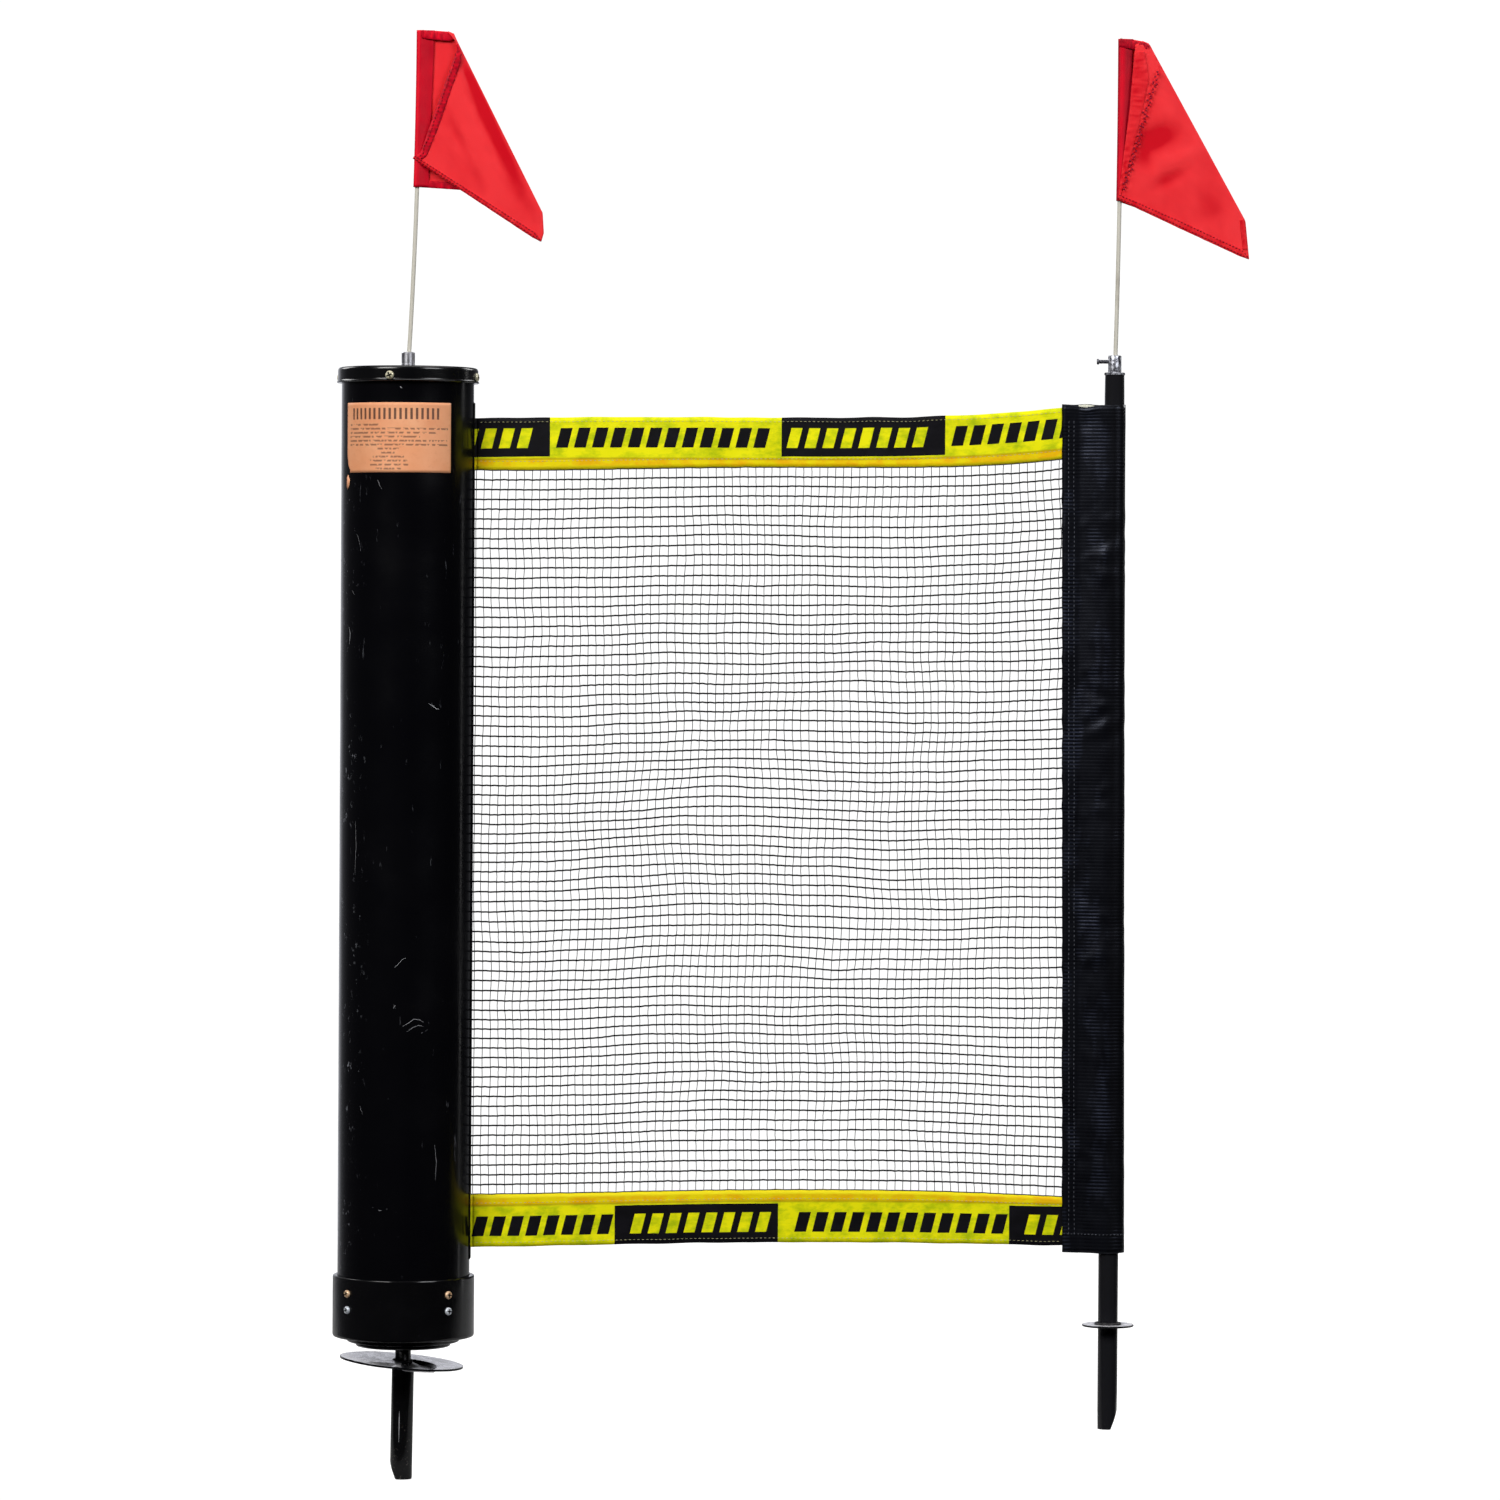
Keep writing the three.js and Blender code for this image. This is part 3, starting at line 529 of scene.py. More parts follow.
LOOKS = {
    "tube": black_tube(),
    "moulding": black_moulding(),
    "paint": black_paint("black_paint", rgb(12, 12, 13)),
    "post_paint": black_paint("post_paint", rgb(28, 28, 31)),
    "galvanised": galvanised(),
    "steel": metal("steel", rgb(226, 226, 232), rgb(170, 170, 178), 0.34),
    "pale_brass": metal("pale_brass", rgb(236, 232, 206), rgb(176, 168, 132), 0.3, metallic=0.3),
    "brass": metal("brass", rgb(250, 216, 180), rgb(214, 168, 122), 0.28, metallic=0.25),
    # Painted shade: a dark metal for the insides of the screws' cross recesses.
    "recess": metal("recess", rgb(52, 50, 44), rgb(20, 19, 17), 0.5),
    "cast": metal("cast", rgb(186, 188, 196), rgb(60, 60, 68), 0.4, (900, 900, 700), (0.42, 0.58), 0.85),
    "dark_steel": metal(
        "dark_steel", rgb(120, 120, 128), rgb(30, 30, 34), 0.42, (700, 700, 700), (0.4, 0.6)
    ),
    "zinc": metal("zinc", rgb(242, 248, 255), rgb(190, 198, 208), 0.26, metallic=0.25),
    "zinc_tube": metal("zinc_tube", rgb(186, 188, 194), rgb(134, 137, 144), 0.4),
    "nylon": nylon(),
    "sticker": sticker(),
    "top_tape": tape("top_tape_print", TOP_PRINT_START, 0.25),
    "bottom_tape": tape("bottom_tape_print", BOTTOM_PRINT_START, -0.25),
    "net": net_cord(),
    "roll": rolled_net(),
    "fabric": black_fabric(),
    "flag": flag_cloth(),
    "flag_painted_shade": flag_painted_shade(),
    "rod": white_rod(),
    "pale_thread": thread("pale_thread", rgb(170, 165, 110), rgb(226, 222, 170)),
    "lining": thread("lining", rgb(206, 204, 180), rgb(240, 240, 226)),
    "grey_thread": thread("grey_thread", rgb(60, 64, 74), rgb(124, 128, 138)),
    "red_thread": thread("red_thread", rgb(128, 0, 24), rgb(176, 4, 34)),
    "plum_thread": thread("plum_thread", rgb(130, 2, 36), rgb(190, 20, 58)),
    "dark_thread": thread("dark_thread", rgb(20, 20, 22), rgb(46, 46, 50)),
    # Also the colour of the stake's painted highlight.
    "scratch": thread("scratch", rgb(120, 122, 128), rgb(205, 206, 210)),
    "weld": weld_bead(),
}


# ---- mesh helpers ---------------------------------------------------------------------------------


def set_shade(mesh, values):
    """Stores how light each point of a mesh is, from 0 to 1, for its material."""
    mesh.attributes.new("shade", "FLOAT", "POINT").data.foreach_set("value", values)


def make(name, points, faces, look, sharp=35, weld_points=False, shade=None):
    """A mesh object from points in millimetres, shaded smooth except at edges sharper than sharp degrees.
    shade holds set_shade's values, which have to be there before points are welded."""
    mesh = bpy.data.meshes.new(name)
    mesh.from_pydata([tuple(MM * c for c in p) for p in points], [], faces)
    if shade is not None:
        set_shade(mesh, shade)
    if weld_points:
        tidy = bmesh.new()
        tidy.from_mesh(mesh)
        bmesh.ops.remove_doubles(tidy, verts=tidy.verts, dist=1e-7)
        bmesh.ops.dissolve_degenerate(tidy, edges=tidy.edges, dist=1e-8)
        bmesh.ops.recalc_face_normals(tidy, faces=tidy.faces)
        tidy.to_mesh(mesh)
        tidy.free()
    mesh.materials.append(LOOKS[look])
    mesh.shade_smooth()
    mesh.set_sharp_from_angle(angle=radians(sharp))
    made = bpy.data.objects.new(name, mesh)
    bpy.context.scene.collection.objects.link(made)
    return made


def quads(rows, columns, wrap_rows=False, wrap_columns=False):
    """Faces of a grid of points stored row by row."""
    last_row, last_column = rows - (not wrap_rows), columns - (not wrap_columns)
    faces = []
    for i in range(last_row):
        for j in range(last_column):
            a, b = i * columns + j, i * columns + (j + 1) % columns
            c, d = (i + 1) % rows * columns + (j + 1) % columns, (i + 1) % rows * columns + j
            faces.append((a, b, c, d))
    return faces


def lathe(name, profile, look, centre=(0, 0), segments=96, closed=True, sharp=30):
    """Revolves [radius, height] points about a vertical axis. A closed profile ends where it starts."""
    points = []
    for radius, height in profile:
        for i in range(segments):
            angle = 2 * pi * i / segments
            points.append((centre[0] + radius * cos(angle), centre[1] + radius * sin(angle), height))
    faces = quads(len(profile), segments, wrap_rows=closed, wrap_columns=True)
    return make(name, points, faces, look, sharp, weld_points=True)


def pipe(name, line, radius, look, sides=20, ends=True, sharp=50):
    """A round bar along points in millimetres. radius is a number or one for each point."""
    line = [Vector(p) for p in line]
    radii = radius if isinstance(radius, (list, tuple)) else [radius] * len(line)
    points = []
    for i, here in enumerate(line):
        ahead = (line[min(i + 1, len(line) - 1)] - line[max(i - 1, 0)]).normalized()
        side = ahead.cross(Vector((0, 1, 0)))
        side = side.normalized() if side.length > 1e-3 else Vector((1, 0, 0))
        up = side.cross(ahead)
        for k in range(sides):
            angle = 2 * pi * k / sides
            points.append(here + side * radii[i] * cos(angle) + up * radii[i] * sin(angle))
    faces = quads(len(line), sides, wrap_columns=True)
    if ends:
        faces += [tuple(range(sides))[::-1], tuple(range(len(points) - sides, len(points)))]
    return make(name, points, faces, look, sharp)


def solidify(piece, thickness):
    """Gives a sheet its thickness in millimetres, half to each side."""
    modifier = piece.modifiers.new("thickness", "SOLIDIFY")
    modifier.thickness = thickness * MM
    modifier.offset = 0
    return piece


def set_uv(piece, uv_of_vertex):
    """Stores one UV, in metres, for each vertex."""
    layer = piece.data.uv_layers.new(name="UVMap")
    for loop in piece.data.loops:
        layer.data[loop.index].uv = uv_of_vertex[loop.vertex_index]


def grid_sheet(name, rows, look, uv, thickness, sharp=60):
    """A cloth from rows of points in millimetres, with UVs of the same layout in metres."""
    columns = len(rows[0])
    points = [p for row in rows for p in row]
    made = make(name, points, quads(len(rows), columns), look, sharp)
    set_uv(made, [q for row in uv for q in row])
    return solidify(made, thickness)


def stitches(name, lines, look, pitch=3.6, length=2.4, radius=0.32):
    """Short raised stitches along several lines of points in millimetres, as one mesh."""
    points, faces = [], []
    for line in lines:
        line = [Vector(p) for p in line]
        spans = [(b - a).length for a, b in zip(line, line[1:])]
        total, at = sum(spans), pitch / 2
        while at < total:
            rest, i = at, 0
            while i < len(spans) - 1 and rest > spans[i]:
                rest -= spans[i]
                i += 1
            ahead = (line[i + 1] - line[i]).normalized()
            centre = line[i] + ahead * rest
            across = ahead.cross(Vector((0, 1, 0))).normalized()
            out = ahead.cross(across)
            first = len(points)
            ends = [centre - ahead * length / 2, centre + ahead * length / 2]
            ring = [centre + across * radius, centre + out * radius,
                    centre - across * radius, centre - out * radius]
            points += [ends[0], *ring, ends[1]]
            for k in range(4):
                a, b = first + 1 + k, first + 1 + (k + 1) % 4
                faces += [(first, b, a), (first + 5, a, b)]
            at += pitch
    return make(name, points, faces, look, 80)


def smoothstep(t):
    """0 below 0, 1 above 1, and a smooth rise between."""
    t = min(max(t, 0), 1)
    return t * t * (3 - 2 * t)


def smooth_noise(x, y, z=0.0):
    """Perlin noise, the same at each run."""
    return noise.noise(Vector((x, y, z)))


def interpolate(stations, values, x):
    """The smooth curve through a value at each station (Lagrange's polynomial)."""
    total = 0
    for station, value in zip(stations, values):
        others = [other for other in stations if other != station]
        total += value * math.prod((x - other) / (station - other) for other in others)
    return total


def steps(low, high, count):
    """Evenly spaced values from low to high, both included."""
    return [low + (high - low) * i / (count - 1) for i in range(count)]


# ---- canister -------------------------------------------------------------------------------------


def canister_skin():
    """The tube, open along its slot: outer and inner walls, and a rim where they end."""
    slot = math.asin(SLOT_HALF / TUBE_RADIUS)
    angles = [slot + (2 * pi - 2 * slot) * i / 120 for i in range(121)]
    heights = [TUBE_LOW.z, SLOT_LOW, *steps(SLOT_LOW, SLOT_HIGH, 9)[1:-1], SLOT_HIGH, TUBE_HIGH.z]
    points, faces = [], []
    for radius in (TUBE_RADIUS, TUBE_RADIUS - TUBE_WALL):
        for z in heights:
            points += [(radius * cos(a), radius * sin(a), z) for a in angles]
    columns, layer = len(angles), len(angles) * len(heights)
    outer = quads(len(heights), columns)
    faces += outer + [tuple(layer + i for i in face[::-1]) for face in outer]
    top = (len(heights) - 1) * columns

    def rim(a, b):
        faces.append((b, a, layer + a, layer + b))

    for j in range(columns - 1):
        rim(j, j + 1)
        rim(top + j + 1, top + j)
    for i in range(1, len(heights) - 2):
        rim((i + 1) * columns, i * columns)
        rim(i * columns + columns - 1, (i + 1) * columns + columns - 1)
    for i in (0, len(heights) - 2):  # the bridges above and below the slot
        a, b = i * columns, (i + 1) * columns
        last_a, last_b = a + columns - 1, b + columns - 1
        faces.append((last_a, a, b, last_b))
        faces.append((layer + a, layer + last_a, layer + last_b, layer + b))
    slot_top = (len(heights) - 2) * columns
    rim(columns, 2 * columns - 1)
    rim(slot_top + columns - 1, slot_top)
    skin = make("canister_skin", points, faces, "tube", 40, weld_points=True)
    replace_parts(skin, "canister_tube")
    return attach(skin, "canister")


def cap():
    """A moulded cap with a beaded lip, a rounded crown and a shallow step round its top."""
    low, high, radius = CAP_LOW.z, CAP_HIGH.z, CAP_RADIUS
    bore, hole = TUBE_RADIUS + 0.4, 4.3
    step, underside = high - 0.35, high - 3.4
    profile = [
        (bore, low), (radius + 0.3, low), (radius + 0.95, low + 0.5), (radius + 0.95, low + 1.2),
        (radius + 0.35, low + 1.8), (radius, low + 2.6), (radius, low + 3.1), (radius, high - 3.6),
        (radius, high - 3.1), (radius - 0.3, high - 1.9), (radius - 1.1, high - 0.8),
        (radius - 2.4, high - 0.2), (radius - 4.2, high), (radius - 7, high), (radius - 7.8, step),
        (30, step), (hole, step), (hole, underside), (bore, underside),
    ]
    made = lathe("cap", profile, "moulding", segments=128)
    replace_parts(made, "top_cap")
    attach(made, "canister")


def collar_ring():
    """The band round the tube's lower end, with rounded edges."""
    low, high, radius = COLLAR_LOW.z, COLLAR_HIGH.z, COLLAR_RADIUS
    bore = 63.8
    profile = [
        (bore, low), (radius - 2.2, low), (radius - 0.9, low + 0.5), (radius - 0.2, low + 1.4),
        (radius, low + 2.6), (radius, low + 3.1), (radius, high - 1.7), (radius, high - 1.3),
        (radius - 0.3, high - 0.5), (radius - 1.1, high), (bore, high),
    ]
    made = lathe("collar_ring", profile, "moulding", segments=128)
    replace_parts(made, "collar")
    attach(made, "canister")


def plug():
    """The stepped plug under the tube: a lower boss, a wider step, and the part inside the tube."""
    low, hole = PLUG_LOW.z, 7.9
    profile = [
        (hole, low), (43.5, low), (44.9, low + 0.4), (45.5, low + 1.4), (45.5, 20.5), (52.6, 20.5),
        (53.7, 21.1), (54, 22.2), (54, 26.7), (60, 26.7), (60, 40), (hole, 40),
    ]
    made = lathe("plug", profile, "moulding", segments=128)
    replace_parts(made, "end_plug")
    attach(made, "canister")


def cross_recess_head(radius, height):
    """A pan head whose crown has a cross-shaped recess, pointing up +Z, seat at zero."""
    segments, arm, half, floor = 48, radius * 0.68, radius * 0.17, height * 0.35
    cross = []
    for quarter in range(4):
        turn = quarter * pi / 2
        for x, y in ((half, half), (half, arm), (-half, arm)):
            cross.append((x * cos(turn) - y * sin(turn), x * sin(turn) + y * cos(turn)))
    turns = [2 * pi * i / segments for i in range(segments)]
    ring = [(radius * cos(turn), radius * sin(turn)) for turn in turns]
    flats = [(1, 0), (1, 0.25), (0.97, 0.45), (0.86, 0.78), (0.74, 0.93)]
    points = [(x * s, y * s, height * h) for s, h in flats for x, y in ring]
    faces = quads(len(flats), segments, wrap_columns=True)
    mesh = bmesh.new()
    verts = [mesh.verts.new(p) for p in points]
    for face in faces:
        mesh.faces.new([verts[i] for i in face])
    rim = [mesh.verts.new((x, y, height)) for x, y in cross]
    deep = [mesh.verts.new((x * 0.8, y * 0.8, floor)) for x, y in cross]
    edges = [mesh.edges.new((rim[i], rim[(i + 1) % len(rim)])) for i in range(len(rim))]
    for i in range(len(rim)):
        j = (i + 1) % len(rim)
        mesh.faces.new((rim[j], rim[i], deep[i], deep[j]))
    mesh.faces.new(deep)
    crown = verts[-segments:]
    edges += [mesh.edges.get((crown[i], crown[(i + 1) % segments])) for i in range(segments)]
    bmesh.ops.triangle_fill(mesh, use_beauty=True, edges=edges)
    mesh.faces.new(verts[:segments][::-1])
    bmesh.ops.recalc_face_normals(mesh, faces=mesh.faces)
    points = [tuple(v.co) for v in mesh.verts]
    mesh.verts.index_update()
    faces = [tuple(v.index for v in f.verts) for f in mesh.faces]
    mesh.free()
    recess = set(range(len(points) - 2 * len(cross), len(points)))
    # The recess faces below the crown, which get painted shade.
    dark = [
        i for i, face in enumerate(faces)
        if set(face) <= recess and min(points[v][2] for v in face) < height
    ]
    return points, faces, dark


def screws():
    """The cap's four screws and the collar's two rings of four, each head turned its own way."""
    for prefix, z, first, seat, head_radius, look in SCREW_RINGS:
        points, faces, dark = cross_recess_head(head_radius, SCREW_HEAD_HEIGHT)
        for i in range(4):
            angle = radians(first + 90 * i)
            turn = Matrix.Rotation(angle, 4, "Z") @ Matrix.Translation((seat + 0.25, 0, z))
            turn = turn @ Matrix.Rotation(pi / 2, 4, "Y") @ Matrix.Rotation(0.4 + i, 4, "Z")
            name = f"{prefix}_head_{i + 1}"
            made = make(name, [turn @ Vector(p) for p in points], faces, look, 30)
            # The recess faces get the painted shade look.
            made.data.materials.append(LOOKS["recess"])
            for face in dark:
                made.data.polygons[face].material_index = 1
            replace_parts(made, f"{prefix}_{i + 1}")
            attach(made, "canister")


def on_tube(angle, z, proud=0.0):
    """A point on the tube's skin, at an angle in degrees from +X."""
    radius = TUBE_RADIUS + proud
    return (radius * cos(radians(angle)), radius * sin(radians(angle)), z)


SCRAP_OUTLINE = [  # angle from +X and height of each corner
    (-151.6, 849), (-149.2, 851.5), (-146.2, 846.6), (-147.4, 840.8), (-150.8, 836.5), (-152.1, 841),
]


def label():
    """The sticker, with one lower corner torn away and a scrap of it left below."""
    start, end = STICKER_ANGLES
    low, high = STICKER_LOW.z, STICKER_HIGH.z
    columns, rows = 60, 24
    width = radians(end - start) * TUBE_RADIUS
    points, uv = [], []
    for i in range(rows + 1):
        for j in range(columns + 1):
            s, t = j / columns, i / rows
            tear = max(0, 1 - t * rows / 5.5) * (0.045 + 0.014 * sin(9 * t * rows / 5.5))
            s = tear + s * (1 - tear)
            lift = 0.45 + 0.25 * max(0, smooth_noise(s * 7, t * 5, 3))
            points.append(on_tube(start + (end - start) * s, low + (high - low) * t, lift))
            uv.append((s * width * MM, t * (high - low) * MM))
    made = make("label", points, quads(rows + 1, columns + 1), "sticker", 60)
    set_uv(made, uv)
    solidify(made, STICKER_THICKNESS)
    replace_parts(made, "front_sticker")
    corners = len(SCRAP_OUTLINE)
    centre = (sum(a for a, _ in SCRAP_OUTLINE) / corners, sum(z for _, z in SCRAP_OUTLINE) / corners)
    points = [on_tube(*centre, 0.6)] + [on_tube(a, z, 0.35) for a, z in SCRAP_OUTLINE]
    faces = [(0, 1 + i, 1 + (i + 1) % corners) for i in range(corners)]
    scrap = make("label_scrap", points, faces, "sticker", 60)
    set_uv(scrap, [(0.001 * i, 0.0482) for i in range(corners + 1)])  # where no mark is
    solidify(scrap, STICKER_THICKNESS)
    for piece in (made, scrap):
        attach(piece, "canister")


SCRATCHES = [  # lines of (angle from +X, height), and width
    ([(-68, 634), (-64, 632), (-60.5, 629), (-58, 628.5)], 0.7),
    ([(-96, 383), (-93, 386), (-89, 391), (-86, 392)], 0.35),
    ([(-89, 327), (-84, 330), (-79, 334), (-74, 333), (-71, 331)], 0.4),
    ([(-85, 322), (-80, 326), (-75, 328), (-71, 327)], 0.3),
    ([(-73, 320), (-67, 324)], 0.3),
    ([(-97, 344), (-95, 347)], 0.7),
    ([(-96.5, 347.5), (-95.2, 343.8)], 0.5),
    ([(-118, 858), (-112, 842), (-109, 836)], 0.2),
    ([(-140, 800), (-134, 792), (-131, 778)], 0.22),
    ([(-147, 706), (-145, 700), (-146, 690)], 0.9),
    ([(-142, 741), (-139, 737)], 0.5),
    ([(-136, 521), (-135, 498), (-136.5, 470)], 0.3),
    ([(-60, 214), (-58, 198), (-59, 180)], 0.3),
    ([(-129, 250), (-126, 243)], 0.5),
    ([(-115, 154), (-108, 151), (-101, 153)], 0.3),
    ([(-93.8, 934.8), (-93, 934), (-92.2, 933.2)], 0.8),
]


def degrees_of(arc):
    """The angle that a length takes up round the tube."""
    return math.degrees(arc / TUBE_RADIUS)


def scratches():
    """Separate pale scratches in the gloss: thin strips on the skin, tapering at both ends."""
    points, faces = [], []
    for line, width in SCRATCHES:
        first = len(points)
        for k, (angle, z) in enumerate(line):
            taper = width / 2 if 0 < k < len(line) - 1 else width / 6
            a, b = line[max(k - 1, 0)], line[min(k + 1, len(line) - 1)]
            along = Vector(((b[0] - a[0]) * TUBE_RADIUS * pi / 180, b[1] - a[1])).normalized()
            step = Vector((-along.y, along.x)) * taper
            turn = degrees_of(step.x)
            points += [on_tube(angle + turn, z + step.y, 0.06), on_tube(angle - turn, z - step.y, 0.06)]
        for k in range(len(line) - 1):
            a = first + 2 * k
            faces.append((a, a + 1, a + 3, a + 2))
    made = make("canister_scratches", points, faces, "scratch", 60)
    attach(made, "canister")


def stake_painted_highlight():
    """A painted highlight: a long pale strip down the stake's paint, fading towards its lower end."""
    stations = ((-46, 0.08), (-52, 0.3), (-60, 0.34), (-68, 0.2), (-76, 0.06))  # height and half width
    middle, radius = radians(-101), PIPE_RADIUS + 0.08
    points = []
    for z, half in stations:
        for side in (-1, 1):
            angle = middle + side * half / PIPE_RADIUS
            points.append((radius * cos(angle), radius * sin(angle), z))
    faces = [(k, k + 1, k + 3, k + 2) for k in range(0, 2 * len(stations) - 2, 2)]
    made = make("stake_painted_highlight", points, faces, "scratch", 60)
    lean_about_origin(made, STAKE_LEAN)
    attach(made, "canister")


def ferrule():
    """The steel socket on the cap, with a groove round it, that the flag rod stands in."""
    low, high, foot = 955.15, FERRULE_HIGH.z, 944
    bore, neck, radius = 3.2, 4.1, 6.45
    profile = [
        (neck, low), (6.0, low), (radius, low + 0.4), (radius, low + 3.4), (6.2, low + 3.7),
        (6.2, low + 4.3), (radius, low + 4.6), (radius, high - 0.9), (6.1, high - 0.3), (5.4, high),
        (3.6, high), (bore, high - 0.5), (bore, foot), (neck, foot),
    ]
    made = lathe("ferrule", profile, "steel", segments=64)
    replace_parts(made, "flag_ferrule")
    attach(made, "canister")


# ---- foot plate and stake -------------------------------------------------------------------------


def plate_height(x, y):
    """How far the battered plate's face is from flat: a crisp dent right of the neck, a soft one left."""
    inside = 1 - ((x - 5) / 30.5) ** 2 - ((y + 30) / 48) ** 2
    dent = smoothstep(inside / 0.14) * smoothstep((x - 1) / 5)
    within = 1 - ((x + 12) / 24) ** 2 - ((y + 62) / 32) ** 2
    soft = smoothstep(within / 0.5) * smoothstep((-2 - x) / 6)
    to_rim = max(0, 1 - (math.hypot(x, y) / PLATE_RADIUS) ** 5)
    return (-4.2 * dent - 1.8 * soft) * to_rim + 0.5 * smooth_noise(x / 40, y / 40, 5)


def foot_plate():
    """The round zinc-coated plate, beaten out of flat, with painted reflection darkening it where it is
    dented and painted shade on its outermost ring.
    """
    radii = [PLATE_HOLE, *steps(10.6, 57.4, 37), 58.3, 59.2, PLATE_RADIUS]
    segments = 144
    points, light = [], []
    for side in (PLATE_TOP, PLATE_UNDERSIDE):
        for radius in radii:
            edge = 0.15 if radius == radii[-1] else 0
            for i in range(segments):
                angle = 2 * pi * i / segments
                grown = radius * (1 + 0.006 * smooth_noise(cos(angle) * 2, sin(angle) * 2, 9))
                x, y = grown * cos(angle), grown * sin(angle)
                sunk = plate_height(x, y)
                z = sunk * min(1, (radius - PLATE_HOLE) / 12) + side
                # Painted reflection: dark in the dent, fading towards +X; painted shade on the rings from
                # radius 59 out.
                fading = 0.92 - 0.5 * smoothstep((x - 6) / 22)
                light.append((1 - smoothstep((-0.5 - sunk) / 2.0) * fading) * (radius < 59))
                points.append((x, y, z - edge if side > 0 else z + edge))
    layer = len(radii) * segments
    top = quads(len(radii), segments, wrap_columns=True)
    faces = [face[::-1] for face in top] + [tuple(layer + i for i in face) for face in top]
    for ring_start in (0, layer - segments):
        for i in range(segments):
            a, b = ring_start + i, ring_start + (i + 1) % segments
            faces.append((a, b, layer + b, layer + a) if ring_start else (b, a, layer + a, layer + b))
    tilt = Matrix.Rotation(radians(PLATE_TILT), 4, "Y")
    points = [tilt @ Vector(p) + Vector((PLATE_OFFSET, 0, 0)) for p in points]
    made = make("foot_plate_beaten", points, faces, "galvanised", 40)
    set_shade(made.data, light)
    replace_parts(made, "foot_plate")
    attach(made, "canister")


def bead(name, centre, radius, thickness, tilt, body, look="weld"):
    """A lumpy weld bead round a bar."""
    around, section, points = 72, 10, []
    turn = Matrix.Translation(Vector(centre)) @ Matrix.Rotation(radians(tilt), 4, "Y")
    for i in range(around):
        angle = 2 * pi * i / around
        lump = 1 + 0.35 * sin(angle * 11) * smooth_noise(cos(angle) * 3, sin(angle) * 3, centre[0])
        lump += 0.5 * smooth_noise(cos(angle) * 2.3, sin(angle) * 2.3, centre[0] + 4)
        for k in range(section):
            slope = 2 * pi * k / section
            out = radius + thickness * lump * cos(slope)
            height = thickness * 0.8 * lump * sin(slope)
            points.append(turn @ Vector((out * cos(angle), out * sin(angle), height)))
    faces = quads(around, section, wrap_rows=True, wrap_columns=True)
    made = make(name, points, faces, look, 80)
    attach(made, body)


def cut_pipe(name, centre, bore, radius, top, tip, side, from_x, rise, tilt=0.0, look="paint"):
    """A pipe whose lower end is cut off along a curved slope and whose upper end is tilted. The cut starts
    from_x out of the middle on the side given by side, -1 or 1, and gains rise by the pipe's flank."""
    segments = 72
    rows = []
    slope = rise / (radius - from_x)

    def bottom(x):
        over = max(0, side * x - from_x)
        return tip + over * slope * (1 - 0.12 * sin(pi * min(1, over / (radius - from_x))))

    for r, inner in ((radius, False), (bore, True)):
        for share in ((0, 0.02, 0.3, 0.6, 0.98, 1) if not inner else (1, 0)):
            row = []
            for i in range(segments):
                angle = 2 * pi * i / segments
                x, y = r * cos(angle), r * sin(angle)
                low, high = bottom(x), top - x * math.tan(radians(tilt))
                round_off = 0.25 if share in (0, 1) and not inner else 0
                factor = 1 - round_off / radius
                row.append((x * factor, y * factor, low + (high - low) * share))
            rows.append(row)
    points = [(centre[0] + x, centre[1] + y, z) for row in rows for x, y, z in row]
    faces = quads(len(rows), segments, wrap_rows=True, wrap_columns=True)
    return make(name, points, faces, look, 35, weld_points=True)


def lean_about_origin(piece, degrees):
    """Tips a mesh about the origin, its top towards +X."""
    piece.data.transform(Matrix.Rotation(radians(degrees), 4, "Y"))


def stake():
    """The stake with its slanting point, the neck above the plate, and the welds that join them."""
    made = cut_pipe("stake", (0, 0), PIPE_BORE, PIPE_RADIUS, top=PLATE_UNDERSIDE, tip=-112, side=-1,
                    from_x=5, rise=15, tilt=PLATE_TILT - STAKE_LEAN)
    lean_about_origin(made, STAKE_LEAN)
    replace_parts(made, "ground_stake")
    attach(made, "canister")
    profile = [(0, -14), (7.2, -14), (7.55, -13.5), (7.55, 25.4), (7.2, 25.7), (0, 25.7)]
    neck = lathe("neck", profile, "paint", segments=64, closed=False)
    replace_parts(neck, "stake_neck")
    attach(neck, "canister")
    bead("neck_weld", (-0.1, 0, 1.5), 8.4, 1.6, PLATE_TILT, "canister")
    bead("plate_weld", (0, 0, -1.2), 10.9, 1.0, PLATE_TILT, "canister")


# ---- net ------------------------------------------------------------------------------------------


def billow(x, z):
    """How far the net stands off its middle plane; nothing at the slot and at the pocket."""
    share = min(max((x - 70) / 555, 0), 1)
    waves = smooth_noise(x / 150, z / 210, 1) + 0.35 * smooth_noise(x / 40, z / 60, 2)
    return 3.2 * sin(pi * share) * waves


def net_height(x, share):
    """Height of the net's thread at a share of the way from the bottom tape to the top tape."""
    low = interpolate(TAPE_STATIONS, BOTTOM_TAPE["upper"], x)
    high = interpolate(TAPE_STATIONS, TOP_TAPE["lower"], x)
    wave = 6.5 * smooth_noise(x / 190, share * 5.5, 11) + 2.2 * smooth_noise(x / 55, share * 16, 12)
    sag = sin(pi * min(max((x - 60) / 575, 0), 1))
    return low + (high - low) * share + wave * min(1, 5 * share, 5 * (1 - share)) * (0.35 + 0.65 * sag)


def net_side(x, z):
    """Sideways wander of the upright threads."""
    return 4.5 * smooth_noise(x / 120, z / 95, 21) + 1.1 * smooth_noise(x / 23, z / 30, 22)


